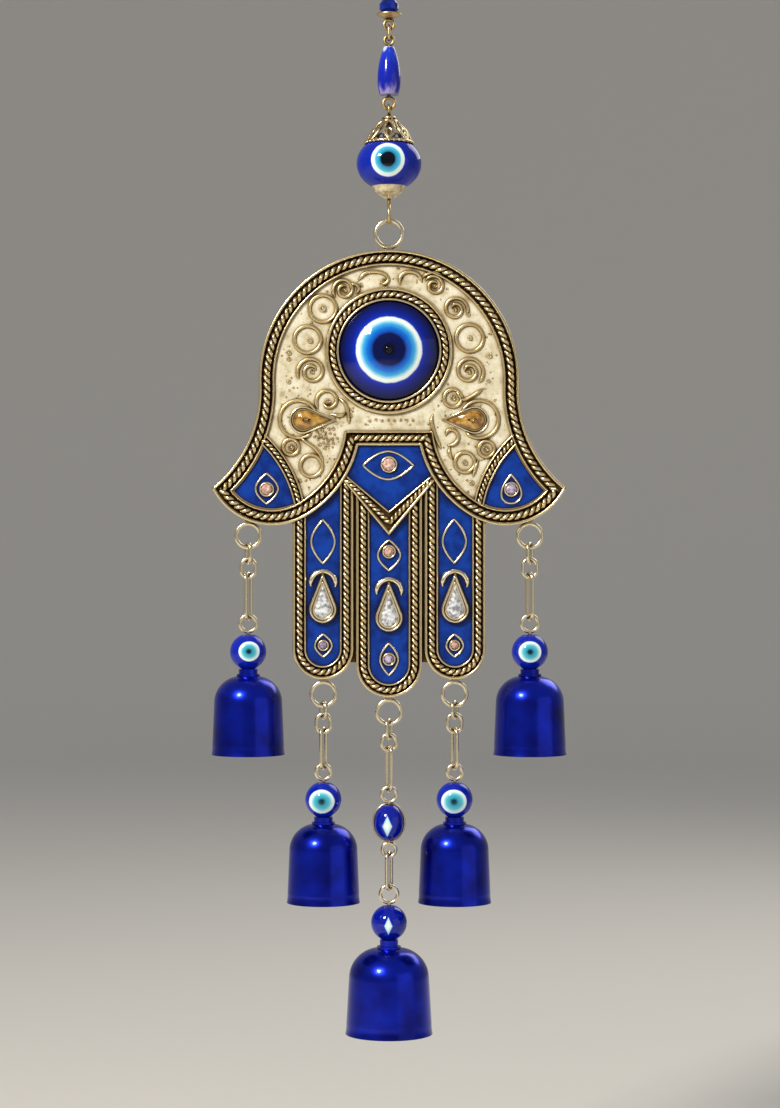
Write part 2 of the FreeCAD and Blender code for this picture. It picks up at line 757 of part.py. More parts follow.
def arc_profile(size, inset):
    # outside of a bell where inset is 0, its inside where inset is the wall
    waist = (size["waist_radius"] - inset, -size["waist"])
    shoulder = (size["shoulder_radius"] - inset, -size["shoulder"])
    top = (size["neck_radius"] - inset, -inset)
    back = inset * bell_knee_wall
    knee = (size["shoulder_radius"] * bell_knee[0] - back, -size["shoulder"] * bell_knee[1] - back)
    rim = (size["rim_radius"] - inset, -size["height"])
    bulge = ((waist[0] + rim[0]) / 2 - bell_rim_bow, (waist[1] + rim[1]) / 2)
    return top, knee, shoulder, waist, bulge, rim


def moved(points, z):
    return [(r, h + z) for r, h in points]


def bell(prefix, x, pivot, upper_wire, loop, size):
    # pin, bead, shell and clapper of one bell that hangs on a wire centred at pivot
    wire = bell_pin_wire
    bore = wire / 2 + bead_bore_gap
    loop_top = hung(upper_wire, wire, pivot) + wire / 2
    bead_radius = size["bead"] / 2
    bead_half = math.sqrt(bead_radius ** 2 - bell_bead_flat_radius ** 2)
    bead_z = loop_top - loop - stem - bead_half
    bead, _ = ball(0, bead_z, bead_radius, bell_bead_flat_radius, bore)
    neck_top = bead_z - bead_half
    crown_z = neck_top - size["neck"]
    outer = moved(arc_profile(size, 0.0), crown_z)
    inner = moved(arc_profile(size, bell_wall), crown_z)
    edges = [
        line((bore, neck_top), (size["neck_radius"], neck_top)),
        line((size["neck_radius"], neck_top), (size["neck_radius"], crown_z + collar_height)),
        line((size["neck_radius"], crown_z + collar_height), (size["collar_radius"], crown_z + collar_height)),
        line((size["collar_radius"], crown_z + collar_height), (size["collar_radius"], crown_z)),
        line((size["collar_radius"], crown_z), outer[0]),
        arc(outer[0], outer[1], outer[2]),
        line(outer[2], outer[3]),
        arc(outer[3], outer[4], outer[5]),
        line(outer[5], inner[5]),
        arc(inner[5], inner[4], inner[3]),
        line(inner[3], inner[2]),
        arc(inner[2], inner[1], inner[0]),
        line(inner[0], (bore, inner[0][1])),
        line((bore, inner[0][1]), (bore, neck_top)),
    ]
    shell = spun_edges(edges)
    inner_top = crown_z - bell_wall - stem
    shank = pin(loop_top, loop, loop_top - loop, inner_top, inner_loop_outside, wire)
    clapper_pivot = inner_top - inner_loop_outside + wire / 2
    clapper_top = hung(wire, clapper_wire, clapper_pivot) + clapper_wire / 2
    ball_z = clapper_pivot - size["clapper"] + clapper_ball_radius
    eye = ring(0, clapper_top - clapper_loop_outside / 2, clapper_loop_outside, clapper_wire, True)
    rod_top = clapper_top - clapper_loop_outside + clapper_wire / 2
    clapper = joined(eye, rod(0, rod_top, ball_z, clapper_rod_radius),
                     Part.makeSphere(clapper_ball_radius, V(0, 0, ball_z)))
    for name, solid in (("bell", shell), ("bell_bead", bead), ("bell_pin", shank), ("clapper", clapper)):
        solid.translate(V(x, 0, 0))
        save(prefix + "_" + name, solid)
    return {"bell": pivot, "clapper": clapper_pivot, "crown": crown_z, "neck_top": neck_top}


def chain(prefix, x, ring_z, sizes, side):
    # short, round and long link under one ring; returns the pivots, the last one for what hangs next
    pivots = {"short": ring_z - (ring_outside - ring_wire) / 2}
    parent_wire = ring_wire
    low = pivots["short"]
    yaws = {"short": 90 - side * link_yaw, "round": 0.0, "long": 90 + side * link_yaw}
    widths = {"short": long_link_width, "round": round_link_width, "long": long_link_width}
    for name in ("short", "round", "long"):
        pivots[name] = low
        top = hung(parent_wire, link_wire, low) + link_wire / 2
        solid = link(x, top, sizes[name], widths[name], link_wire, yaws[name])
        save(prefix + "_" + name + "_link", solid)
        low = top - sizes[name] + link_wire / 2
        parent_wire = link_wire
    pivots["next"] = low
    return pivots


def oval_bead(pivot):
    # the middle drop's bead in its wire setting, and the link under it
    wire = bell_pin_wire
    bore = wire / 2 + bead_bore_gap
    loop = middle_links["loop"]
    loop_top = hung(link_wire, wire, pivot) + wire / 2
    squash = oval_bead_height / oval_bead_width
    bead, half = ball(0, 0, oval_bead_width / 2, oval_bead_flat_radius, bore, squash)
    z = loop_top - loop - stem - half
    bead.translate(V(0, 0, z))
    lower_top = z - half - stem
    save("oval_bead", bead)
    save("oval_bead_pin", pin(loop_top, loop, loop_top - loop, lower_top, oval_lower_loop, wire))
    grow = oval_setting_wire
    hoop = Part.makeCylinder(oval_bead_width / 2 + grow, oval_setting_wire,
                             V(0, -oval_setting_wire / 2, 0), V(0, 1, 0))
    stretch = FreeCAD.Matrix()
    stretch.scale(V(1, 1, squash))
    hoop = hoop.transformGeometry(stretch)
    hoop.translate(V(0, 0, z))
    reach = oval_setting_reach
    keep = Part.makeBox(2 * reach, 2 * reach, 2 * half, V(-reach, -reach, z - half))
    save("oval_bead_rim", hoop.common(keep).cut([bead, rod(0, z + reach, z - reach, bore)]))
    lower_pivot = lower_top - oval_lower_loop + wire / 2
    top = hung(wire, link_wire, lower_pivot) + link_wire / 2
    solid = link(0, top, lower_link_length, long_link_width, link_wire, 90 - link_yaw)
    save("middle_lower_link", solid)
    return {"oval": pivot, "lower": lower_pivot, "next": top - lower_link_length + link_wire / 2}


def drops(placed):
    pivots = {}
    for name, x, _, ring_z in placed:
        if name == "top":
            continue
        sizes = middle_links if name == "middle" else lobe_links if "outer" in name else finger_links
        found = chain(name, x, ring_z, sizes, -1 if x < 0 else 1)
        if name == "middle":
            found.update(oval_bead(found["next"]))
            found.update(bell(name, x, found["next"], link_wire, middle_bell_loop, large_bell))
        else:
            found.update(bell(name, x, found["next"], link_wire, sizes["loop"], small_bell))
        pivots[name] = found
    return pivots


# ---- build -----------------------------------------------------------------------

os.makedirs("parts", exist_ok=True)
save("hanger", hanger())
save("top_link", link(0, top_link_top, top_link_length, top_link_width, link_wire, 90))
upper_bead()
save("bead_link", link(0, bead_link_top, bead_link_length, bead_link_width, pin_wire, 90))
long_bead()
eye_bead()
hand_rings = hand()
drop_pivots = drops(hand_rings)

for name, shape in parts.items():
    shape.exportStep("parts/" + name + ".step")

# joint places, for whoever writes the joints
print("upper chain", [round(v, 3) for v in (top_link_pivot, upper_bead_pivot, bead_link_pivot,
                                            long_bead_pivot, eye_bead_pivot, hand_pivot)])
for name, found in drop_pivots.items():
    print(name, {key: round(value, 3) for key, value in found.items()})
print("hand top", round(hand_top, 3), "eye", round(eye_height(), 3), "nodes", len(parts))
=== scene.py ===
import json
import math

import bpy
import numpy as np
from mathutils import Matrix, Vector


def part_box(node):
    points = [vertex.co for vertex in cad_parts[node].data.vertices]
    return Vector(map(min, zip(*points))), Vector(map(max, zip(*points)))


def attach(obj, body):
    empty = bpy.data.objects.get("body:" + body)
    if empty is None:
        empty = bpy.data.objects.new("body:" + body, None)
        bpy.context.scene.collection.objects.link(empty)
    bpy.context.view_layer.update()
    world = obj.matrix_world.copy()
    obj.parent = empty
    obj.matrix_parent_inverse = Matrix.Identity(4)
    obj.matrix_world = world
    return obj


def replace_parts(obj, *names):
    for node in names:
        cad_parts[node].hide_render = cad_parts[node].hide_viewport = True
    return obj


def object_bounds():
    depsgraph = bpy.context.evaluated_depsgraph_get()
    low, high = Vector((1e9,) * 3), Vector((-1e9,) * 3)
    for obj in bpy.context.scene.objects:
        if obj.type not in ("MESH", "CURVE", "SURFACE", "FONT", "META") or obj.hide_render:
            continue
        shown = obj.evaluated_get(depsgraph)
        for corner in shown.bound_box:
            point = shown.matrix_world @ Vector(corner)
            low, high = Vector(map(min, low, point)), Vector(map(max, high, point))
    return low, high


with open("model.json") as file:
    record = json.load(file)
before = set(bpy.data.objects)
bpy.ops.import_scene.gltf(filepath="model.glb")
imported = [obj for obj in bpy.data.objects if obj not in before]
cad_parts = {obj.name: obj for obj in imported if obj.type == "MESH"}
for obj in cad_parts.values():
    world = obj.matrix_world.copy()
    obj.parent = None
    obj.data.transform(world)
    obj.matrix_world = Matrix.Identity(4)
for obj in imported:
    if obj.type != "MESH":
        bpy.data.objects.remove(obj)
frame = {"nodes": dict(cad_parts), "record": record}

# A hanging charm: cast brass hand with enamel and a glass eye, bead chain above, bells below.
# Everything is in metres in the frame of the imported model: +Z up, front of the hand to -Y.

cadBox = [list(corner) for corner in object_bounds()]
mm = 0.001
turn = 2 * math.pi
print("frame loaded")


# ---- shapes: whole arrays of points ----

def box(node):
    low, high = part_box(node)
    return np.array(low), np.array(high)


def centreOf(node):
    low, high = box(node)
    return (low + high) / 2


def gridFaces(rows, columns, closeRows, closeColumns):
    # quads between neighbouring rows and columns, wrapped round where that way is closed
    a, b = np.meshgrid(np.arange(rows - (not closeRows)), np.arange(columns - (not closeColumns)),
        indexing="ij")
    c, d = (a + 1) % rows, (b + 1) % columns
    return np.stack([a * columns + b, c * columns + b, c * columns + d, a * columns + d], -1).reshape(-1, 4)


def fanFaces(ringStart, count, hub, flip):
    # triangles from each side of a ring of points to one hub point
    k = np.arange(count)
    a, b = ringStart + k, ringStart + (k + 1) % count
    faces = np.stack([a, b, np.full(count, hub)], -1)
    return faces[:, ::-1] if flip else faces


def signedVolume(points, faces):
    # sum of the tetrahedra from the origin to each triangle of each face
    p = points[faces]
    total = np.einsum("ij,ij->i", p[:, 0], np.cross(p[:, 1], p[:, 2])).sum()
    if faces.shape[1] == 4:
        total += np.einsum("ij,ij->i", p[:, 0], np.cross(p[:, 2], p[:, 3])).sum()
    return total


class Shell:
    # gathers closed surfaces into one mesh, each one turned so that its faces point outwards
    def __init__(self):
        self.points, self.quads, self.triangles, self.count = [], [], [], 0

    def add(self, points, quads, triangles=None):
        middle = points.mean(0)
        volume = signedVolume(points - middle, quads)
        if triangles is not None:
            volume += signedVolume(points - middle, triangles)
        step = -1 if volume < 0 else 1
        self.quads.append(quads[:, ::step] + self.count)
        if triangles is not None:
            self.triangles.append(triangles[:, ::step] + self.count)
        self.points.append(points)
        self.count += len(points)
        return self

    def piece(self, name, body, slot, material, smooth=True):
        # puts the gathered arrays into one mesh object that rides on a body
        points = np.concatenate(self.points)
        corners = [np.concatenate(self.quads).ravel()]
        sizes = [np.full(len(corners[0]) // 4, 4)]
        if self.triangles:
            corners.append(np.concatenate(self.triangles).ravel())
            sizes.append(np.full(len(corners[1]) // 3, 3))
        corners, sizes = np.concatenate(corners), np.concatenate(sizes)
        mesh = bpy.data.meshes.new(name)
        mesh.vertices.add(len(points))
        mesh.vertices.foreach_set("co", points.astype(np.float32).ravel())
        mesh.loops.add(len(corners))
        mesh.loops.foreach_set("vertex_index", corners.astype(np.int32))
        mesh.polygons.add(len(sizes))
        mesh.polygons.foreach_set("loop_start", (np.cumsum(sizes) - sizes).astype(np.int32))
        mesh.polygons.foreach_set("use_smooth", np.full(len(sizes), smooth))
        mesh.update(calc_edges=True)
        mesh.validate()
        mesh.materials.append(material)
        thing = bpy.data.objects.new(name, mesh)
        bpy.context.scene.collection.objects.link(thing)
        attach(thing, body)
        return thing


def sweepInto(shell, path, across, up, profile, closed, scale=None):
    # a closed profile carried along a path: path + profile x * across + profile y * up, ends shut with fans
    size = np.ones(len(path)) if scale is None else scale
    flat = profile[None, :, :] * size[:, None, None]
    points = path[:, None, :] + flat[..., :1] * across[:, None, :] + flat[..., 1:] * up[:, None, :]
    rows, columns = len(path), len(profile)
    quads = gridFaces(rows, columns, closed, True)
    points = points.reshape(-1, 3)
    if closed:
        return shell.add(points, quads)
    ends = np.stack([points[:columns].mean(0), points[-columns:].mean(0)])
    caps = np.concatenate([
        fanFaces(0, columns, len(points), True), fanFaces(len(points) - columns, columns, len(points) + 1,
            False),
    ])
    return shell.add(np.concatenate([points, ends]), quads, caps)


def circleProfile(radius, sides):
    a = np.arange(sides) * turn / sides
    return np.stack([radius * np.cos(a), radius * np.sin(a)], -1)


def domeProfile(width, height, steps=5):
    # half an ellipse over a flat base that goes a little below the surface it lies on
    a = np.linspace(0, math.pi, steps + 1)
    top = np.stack([width / 2 * np.cos(a), height * np.sin(a)], -1)
    foot = np.array([[-width / 2, -0.15 * mm], [width / 2, -0.15 * mm]])
    return np.concatenate([top, foot])


def tangents(path, closed):
    # direction at each point from its two neighbours
    if closed:
        step = np.roll(path, -1, 0) - np.roll(path, 1, 0)
    else:
        step = np.gradient(path, axis=0)
    return step / np.linalg.norm(step, axis=1, keepdims=True)


def lathe(shell, profile, centre, sides=64):
    # a closed (radius, height) outline turned about the vertical through centre
    a = np.arange(sides) * turn / sides
    radius, height = profile[:, 0], profile[:, 1]
    points = np.stack([
        centre[0] + np.outer(np.cos(a), radius), centre[1] + np.outer(np.sin(a), radius),
        centre[2] + np.outer(np.ones(sides), height),
    ], -1)
    return shell.add(points.reshape(-1, 3), gridFaces(sides, len(profile), True, True))


def bent(points, step=0.25):
    # smooth curve through a few points: Catmull-Rom spans sampled evenly in each span
    p = np.asarray(points, float)
    p = np.concatenate([2 * p[:1] - p[1:2], p, 2 * p[-1:] - p[-2:-1]])
    spans = []
    for k in range(len(p) - 3):
        a, b, c, d = p[k:k + 4]
        count = max(3, int(np.linalg.norm(c - b) / step))
        t = np.linspace(0, 1, count, endpoint=False)[:, None]
        spans.append(0.5 * (2 * b + (c - a) * t + (2 * a - 5 * b + 4 * c - d) * t ** 2
                            + (3 * b - a - 3 * c + d) * t ** 3))
    return np.concatenate(spans + [p[-2:-1]])


# ---- materials ----

def linear(hexColour):
    # sRGB hex to linear: ((c + 0.055) / 1.055) ** 2.4, or c / 12.92 in the darkest part
    raw = np.array([int(hexColour[k:k + 2], 16) / 255 for k in (0, 2, 4)])
    return (*np.where(raw <= 0.04045, raw / 12.92, ((raw + 0.055) / 1.055) ** 2.4).tolist(), 1.0)


def newMaterial(name, **values):
    # material with plain settings on its shader, underscores standing for the spaces in input names
    material = bpy.data.materials.new(name)
    material.use_nodes = True
    shader = material.node_tree.nodes["Principled BSDF"]
    for key, value in values.items():
        shader.inputs[key.replace("_", " ")].default_value = value
    return material, shader


def add(material, kind, settings=None, links=None):
    # one node with its settings, and its inputs joined to sockets or set to plain values
    made = material.node_tree.nodes.new(kind)
    for key, value in (settings or {}).items():
        setattr(made, key, value)
    for key, value in (links or {}).items():
        if isinstance(value, bpy.types.NodeSocket):
            material.node_tree.links.new(value, made.inputs[key])
        else:
            made.inputs[key].default_value = value
    return made


def feed(material, shader, **sockets):
    # joins sockets to the shader's inputs
    for key, socket in sockets.items():
        material.node_tree.links.new(socket, shader.inputs[key.replace("_", " ")])


def rampOf(material, factor, stops):
    # colour by factor: (place, hex) stops
    made = add(material, "ShaderNodeValToRGB", links={"Fac": factor})
    ramp = made.color_ramp
    while len(ramp.elements) < len(stops):
        ramp.elements.new(0.5)
    for element, (at, colour) in zip(ramp.elements, stops):
        element.position = at
        element.color = linear(colour)
    return made.outputs["Color"]


def grainOf(material, size, detail=3.0):
    # noise whose patches are about that many millimetres across
    where = add(material, "ShaderNodeTexCoord").outputs["Object"]
    return add(material, "ShaderNodeTexNoise", links={"Vector": where, "Scale": 1 / (size * mm),
        "Detail": detail}).outputs["Fac"]


def openness(material, reach):
    # 0 deep in a hollow, 1 in the open, from what lies within reach millimetres
    return add(material, "ShaderNodeAmbientOcclusion", {"samples": 8},
        {"Distance": reach * mm}).outputs["AO"]


def mathOf(material, operation, a, b, c=0.0, clamp=False):
    # one arithmetic step on two or three values
    return add(material, "ShaderNodeMath", {"operation": operation, "use_clamp": clamp},
        {0: a, 1: b, 2: c}).outputs[0]


def multiplied(material, share, first, second):
    # first * second, mixed over first by share
    made = add(material, "ShaderNodeMix", {"data_type": "RGBA", "blend_type": "MULTIPLY"},
        {0: share, 6: first, 7: second})
    return made.outputs[2]


def bumpOf(material, shader, height, strength, depth):
    # small relief of that depth in millimetres
    made = add(material, "ShaderNodeBump", links={"Strength": strength, "Distance": depth * mm,
        "Height": height})
    feed(material, shader, Normal=made.outputs["Normal"])


def agedBrass(name, reach, lift, stops, rough):
    # brass dipped in a dark patina and rubbed back: colour follows openness plus a little wandering noise
    material, shader = newMaterial(name, Metallic=1.0)
    worn = mathOf(material, "MULTIPLY_ADD", grainOf(material, 3.5), 0.3, lift - 0.15)
    shown = mathOf(material, "ADD", openness(material, reach), worn, clamp=True)
    feed(material, shader, Base_Color=rampOf(material, shown, stops))
    spread = add(material, "ShaderNodeMapRange", links={"Value": shown, "To Min": rough[0],
        "To Max": rough[1]})
    feed(material, shader, Roughness=spread.outputs[0])
    bumpOf(material, shader, grainOf(material, 0.45), 0.4, 0.05)  # cast skin, grains under half a millimetre
    return material


# cast zinc brass with antique finish, each use rubbed back by a different amount
brass = agedBrass("antiqueCastBrass", 1.6, -0.06, [(0.15, "1C1208"), (0.45, "5C4424"), (0.72, "9C7E4C"),
    (0.95, "D2B985")], (0.6, 0.34))
rubbed = agedBrass("rubbedRimBrass", 0.8, 0.02, [(0.2, "3A2814"), (0.5, "8C6E3E"), (0.75, "C4A872"),
    (0.95, "F0DCAE")], (0.5, 0.24))
ropeBrass = agedBrass("twistedRopeBrass", 0.75, -0.10,
    [(0.22, "120A04"), (0.45, "4E3819"), (0.66, "A88C5A"), (0.86, "F2E0B4")], (0.55, 0.24))
scrollBrass = agedBrass("scrollBrass", 0.9, -0.08,
    [(0.25, "2E1E0A"), (0.5, "6E5428"), (0.72, "AC8E54"), (0.92, "E4D0A0")], (0.55, 0.3))
grainBrass = agedBrass("stainedGrainBrass", 0.7, 0.02,
    [(0.2, "6A5430"), (0.5, "A08858"), (0.75, "CCBA8E"), (0.95, "F0E6C8")], (0.55, 0.35))
frameGold = agedBrass("brightFrameBrass", 0.6, 0.06,
    [(0.2, "6A5028"), (0.5, "B89A60"), (0.75, "E2CB98"), (0.95, "FAF0D2")], (0.45, 0.22))
crownBrass = agedBrass("filigreeBrass", 1.0, 0.0, [(0.2, "2A1A0A"), (0.5, "7E6238"), (0.75, "BC9F68"),
    (0.95, "ECD8A8")], (0.5, 0.26))
wire = agedBrass("washedDrawnWire", 0.8, 0.04, [(0.2, "2E2212"), (0.5, "7A6340"), (0.75, "B8A178"),
    (0.95, "EADDBC")], (0.45, 0.24))


def creamEnamel():
    # soft enamel poured between the walls: ivory, clouded, stained brown in pits; the brown beside the metal
    # is partly antique stain and partly painted shade of the raised wires and walls
    material, shader = newMaterial("ivorySoftEnamel", Roughness=0.4, Coat_Weight=0.35, Coat_Roughness=0.2)
    cloud = grainOf(material, 2.6, 6.0)
    body = rampOf(material, cloud, [(0.28, "B2A280"), (0.40, "D2C8AA"), (0.55, "E2DBC2"), (0.70, "ECE7D4")])
    # painted shade with stain: darker where the spot is shut in by wires and walls, partly the brown antique
    # stain, partly their shadows
    stainAndPaintedShade = rampOf(material, openness(material, 1.1), [(0.30, "3E2C14"), (0.60, "A8905E"), (0.90, "FFFFFF")])
    specks = rampOf(material, grainOf(material, 0.7, 2.0), [(0.30, "8A7446"), (0.40, "FFFFFF")])
    stainedAndShadedBody = multiplied(material, 1.0, body, stainAndPaintedShade)
    feed(material, shader, Base_Color=multiplied(material, 0.45, stainedAndShadedBody, specks))
    bumpOf(material, shader, cloud, 0.5, 0.2)
    return material


def blueEnamel():
    # translucent enamel over metal: cobalt in the middle of a cell, darkened to near black beside its walls
    # as painted shade
    material, shader = newMaterial("cobaltPouredEnamel", Roughness=0.16)
    # painted shade: the less open a spot, the darker, down to near black beside the cell walls
    depth = rampOf(material, openness(material, 2.4), [(0.3, "010614"), (0.60, "031A58"), (0.90, "0A3CA0")])
    cloud = rampOf(material, grainOf(material, 3.2), [(0.35, "8088A0"), (0.6, "FFFFFF")])
    feed(material, shader, Base_Color=multiplied(material, 0.7, depth, cloud))
    bumpOf(material, shader, grainOf(material, 1.8), 0.25, 0.12)
    return material


def ringsOf(material, place, squeeze, wander, stops):
    # colour by distance from the front of a bead: length of place * squeeze, wavering a little;
    # behind the bead's middle it is the last stop
    flat = add(material, "ShaderNodeVectorMath", {"operation": "MULTIPLY"},
        {0: place, 1: squeeze}).outputs[0]
    length = add(material, "ShaderNodeVectorMath", {"operation": "LENGTH"}, {0: flat}).outputs["Value"]
    wave = mathOf(material, "MULTIPLY_ADD", grainOf(material, 1.6, 2.0), wander, length)
    depth = add(material, "ShaderNodeSeparateXYZ", links={0: place}).outputs["Y"]
    behind = mathOf(material, "GREATER_THAN", depth, 0.0)
    return rampOf(material, mathOf(material, "ADD", wave, behind, clamp=True), stops)


def paintedGlass(name, squeeze, wander, stops, own=None):
    # opaque glass with drops of other colours melted in, then fire-polished
    material, shader = newMaterial(name, Roughness=0.05, IOR=1.5, Specular_IOR_Level=0.35)
    if own is None:
        place = add(material, "ShaderNodeAttribute", {"attribute_name": "place"}).outputs["Vector"]
    else:
        where = add(material, "ShaderNodeTexCoord").outputs["Object"]
        place = add(material, "ShaderNodeVectorMath", {"operation": "SUBTRACT"},
            {0: where, 1: own}).outputs[0]
    feed(material, shader, Base_Color=ringsOf(material, place, squeeze, wander, stops))
    return material


def cobaltGlassPaintedReflection():
    # cobalt bead with a painted reflection on its front: a pale lozenge, |x| / a + |z| / b below one
    material, shader = newMaterial("cobaltPaintedReflectionGlass", Roughness=0.07)
    place = add(material, "ShaderNodeAttribute", {"attribute_name": "place"}).outputs["Vector"]
    flat = add(material, "ShaderNodeVectorMath", {"operation": "MULTIPLY"},
        {0: place, 1: (0.76, 0.0, 0.35)}).outputs[0]
    size = add(material, "ShaderNodeVectorMath", {"operation": "ABSOLUTE"}, {0: flat}).outputs[0]
    parts = add(material, "ShaderNodeSeparateXYZ", links={0: size})
    total = mathOf(material, "ADD", parts.outputs["X"], parts.outputs["Z"])
    behind = mathOf(material, "GREATER_THAN", add(material, "ShaderNodeSeparateXYZ",
        links={0: place}).outputs["Y"], 0.0)
    shown = mathOf(material, "ADD", total, behind, clamp=True)
    # painted reflection: near white in the lozenge's middle, fading through pale blue into the cobalt
    feed(material, shader, Base_Color=rampOf(material, shown, [
        (0.0, "F4FCF4"), (0.5, "D8F0F0"), (0.72, "A8D8F0"), (0.82, "0A38C0"), (1.0, "04189A")]))
    return material


def deepGlass(name, low, high, size):
    # pressed glass of one colour, a little uneven
    material, shader = newMaterial(name, Roughness=0.07)
    feed(material, shader, Base_Color=rampOf(material, grainOf(material, size), [(0.35, low), (0.65, high)]))
    return material


def cobaltGlassPaintedFacetGlints(node):
    # drawn glass: cobalt, a pale tip above, and a lilac foot with lilac streaks running up from it that are
    # painted highlights of its facets
    material, shader = newMaterial("drawnGlassPaintedFacetGlints", Roughness=0.12)
    low, high = box(node)
    where = add(material, "ShaderNodeTexCoord").outputs["Object"]
    height = add(material, "ShaderNodeSeparateXYZ", links={0: where}).outputs["Z"]
    share = add(material, "ShaderNodeMapRange", links={"Value": height, "From Min": float(low[2]),
        "From Max": float(high[2])}).outputs[0]
    drawn = add(material, "ShaderNodeVectorMath", {"operation": "MULTIPLY"},
        {0: where, 1: (1.0, 1.0, 0.18)}).outputs[0]
    # painted highlights: stretched noise draws the facets' glints as lilac streaks running up from the foot
    paintedFacetGlint = add(material, "ShaderNodeTexNoise", links={"Vector": drawn, "Scale": 1100.0,
        "Detail": 3.0}).outputs["Fac"]
    shown = mathOf(material, "MULTIPLY_ADD", mathOf(material, "SUBTRACT", paintedFacetGlint, 0.5), 0.7, share)
    feed(material, shader, Base_Color=rampOf(material, shown, [
        (0.0, "9088B8"), (0.10, "5048A8"), (0.24, "0C1C9C"), (0.6, "0A20B0"), (0.9, "1838C4"),
            (0.99, "C8D0E8")]))
    return material


def bellLacquer():
    # candy lacquer: blue clear coat over polished steel, satin on top
    material, shader = newMaterial("blueCandyLacquer", Metallic=0.9, Roughness=0.27, Coat_Weight=0.25,
        Coat_Roughness=0.12)
    feed(material, shader, Base_Color=rampOf(material, grainOf(material, 7.0),
        [(0.3, "020C80"), (0.7, "0626C8")]))
    bumpOf(material, shader, grainOf(material, 0.7), 0.12, 0.03)
    return material


def foiledStone(name, low, high):
    # moulded glass brilliant with foil behind it: bright, uneven facets
    material, shader = newMaterial(name, Metallic=0.15, Roughness=0.12, IOR=1.6)
    feed(material, shader, Base_Color=rampOf(material, grainOf(material, 0.8, 1.0),
        [(0.35, low), (0.65, high)]))
    return material


def amberResin():
    # cast resin: honey, darker where the noise runs deep
    material, shader = newMaterial("castAmberResin", Roughness=0.16, Coat_Weight=1.0, Coat_Roughness=0.05)
    feed(material, shader, Base_Color=rampOf(material, grainOf(material, 1.6),
        [(0.35, "6E4A14"), (0.5, "A87A2C"), (0.7, "D0A850")]))
    return material


def clearCupGlass():
    # clear glass foot over a gilded setting: pale gold with soft gloss
    material, shader = newMaterial("gildedClearGlass", Metallic=0.35, Roughness=0.2, Coat_Weight=1.0)
    feed(material, shader, Base_Color=rampOf(material, grainOf(material, 1.2),
        [(0.35, "A89060"), (0.6, "E0D4B0")]))
    return material


cream = creamEnamel()
blue = blueEnamel()
cobalt = deepGlass("pressedCobaltGlass", "03104E", "0A2CA8", 3.0)
facetGlintGlass = cobaltGlassPaintedFacetGlints("long_bead")
lacquer = bellLacquer()
crystalGlass = foiledStone("foiledClearCrystal", "8C9098", "F4F6FA")
roseGlass = foiledStone("foiledRoseGlass", "C08478", "F4D8CC")
lilacGlass = foiledStone("foiledLilacGlass", "7C74A0", "D8C8E4")
amber = amberResin()
clearCup = clearCupGlass()
eyeGlass = paintedGlass("meltedEyeGlass", (1 / 0.0125, 0.0, 1 / 0.0125), 0.03, [
    (0.0, "01030C"), (0.11, "010414"), (0.16, "030F48"), (0.33, "030F48"), (0.37, "0A46AC"),
        (0.45, "0E6ED0"), (0.53, "3CA6E0"),
    (0.58, "A4DAEE"), (0.615, "F0F8F2"), (0.66, "E4F2EC"), (0.685, "0A2CB4"), (0.76, "051C8C"),
        (0.96, "020734")], centreOf("eye_glass") + np.array([0, 1, 0]))
smallEye = paintedGlass("smallEyeGlass", (0.94, 0.0, 1.0), 0.06, [
    (0.0, "031620"), (0.20, "083848"), (0.33, "2A90AC"), (0.62, "54BCD0"), (0.76, "B0E4EE"),
        (0.84, "EAFAF8"), (0.95, "E8FAFA"),
    (1.0, "0822A8")])
largeEye = paintedGlass("largeEyeGlass", (1.0, 0.0, 1.0), 0.05, [
    (0.0, "020610"), (0.42, "030C18"), (0.47, "1878A8"), (0.72, "4CB8DC"), (0.80, "D8F4F4"),
        (0.94, "F0FAF6"), (0.99, "0A30C0"),
    (1.0, "0822A0")])
paintedReflectionGlass = cobaltGlassPaintedReflection()
print("materials made")


# ---- hand: curves in millimetres right of its middle line and down from the top of its dome ----

_, handBack, handTop = box("hand_casting")[1]
eyeMiddle = centreOf("eye_glass")
eyeAt = (0.0, (handTop - eyeMiddle[2]) / mm)

palm = {
    "domeRadius": 32.5, "flareRadius": 31.4, "flareDrop": 35.0, "lobeRadius": 16.8, "lobeX": 29.1,
        "lobeDrop": 52.0,
    "lobeTurn": math.radians(60), "lobeGrowth": 10.7, "barDrop": 48.25, "panelDrop": 71.3, "panelSlope": 1.2,
}
levels = {"palmFloor": 2.3, "palmEnamel": 2.7, "palmRim": 3.2, "fingerFloor": 1.6, "fingerEnamel": 2.0,
    "fingerRim": 2.4,
          "bezel": 3.9}


def onHand(curve, level):
    # (x, drop) in millimetres to a place that many millimetres in front of the hand's back
    curve = np.asarray(curve, float)
    y = np.full(len(curve), handBack - level * mm)
    return np.stack([curve[:, 0] * mm, y, handTop - curve[:, 1] * mm], -1)


def arcCurve(centre, radius, start, end, step=0.3):
    # centre + radius * (cos, sin) between two angles, a quarter turn being straight down
    a = np.linspace(start, end, max(6, int(abs(end - start) * radius / step)))
    return np.stack([centre[0] + radius * np.cos(a), centre[1] + radius * np.sin(a)], -1)


def spiralCurve(centre, outer, inner, start, sweep, step=0.25):
    # an arc whose radius goes evenly from outer to inner while the angle turns by sweep
    t = np.linspace(0, 1, max(10, int(abs(sweep) * (outer + inner) / 2 / step)))
    radius, a = outer + (inner - outer) * t, start + sweep * t
    return np.stack([centre[0] + radius * np.cos(a), centre[1] + radius * np.sin(a)], -1)


def polyline(*corners, step=0.4):
    # straight runs between corners, a point every step
    runs = [np.linspace(a, b, max(3, int(math.dist(a, b) / step)))[:-1] for a,
        b in zip(corners, corners[1:])]
    return np.concatenate(runs + [np.array(corners[-1:])])


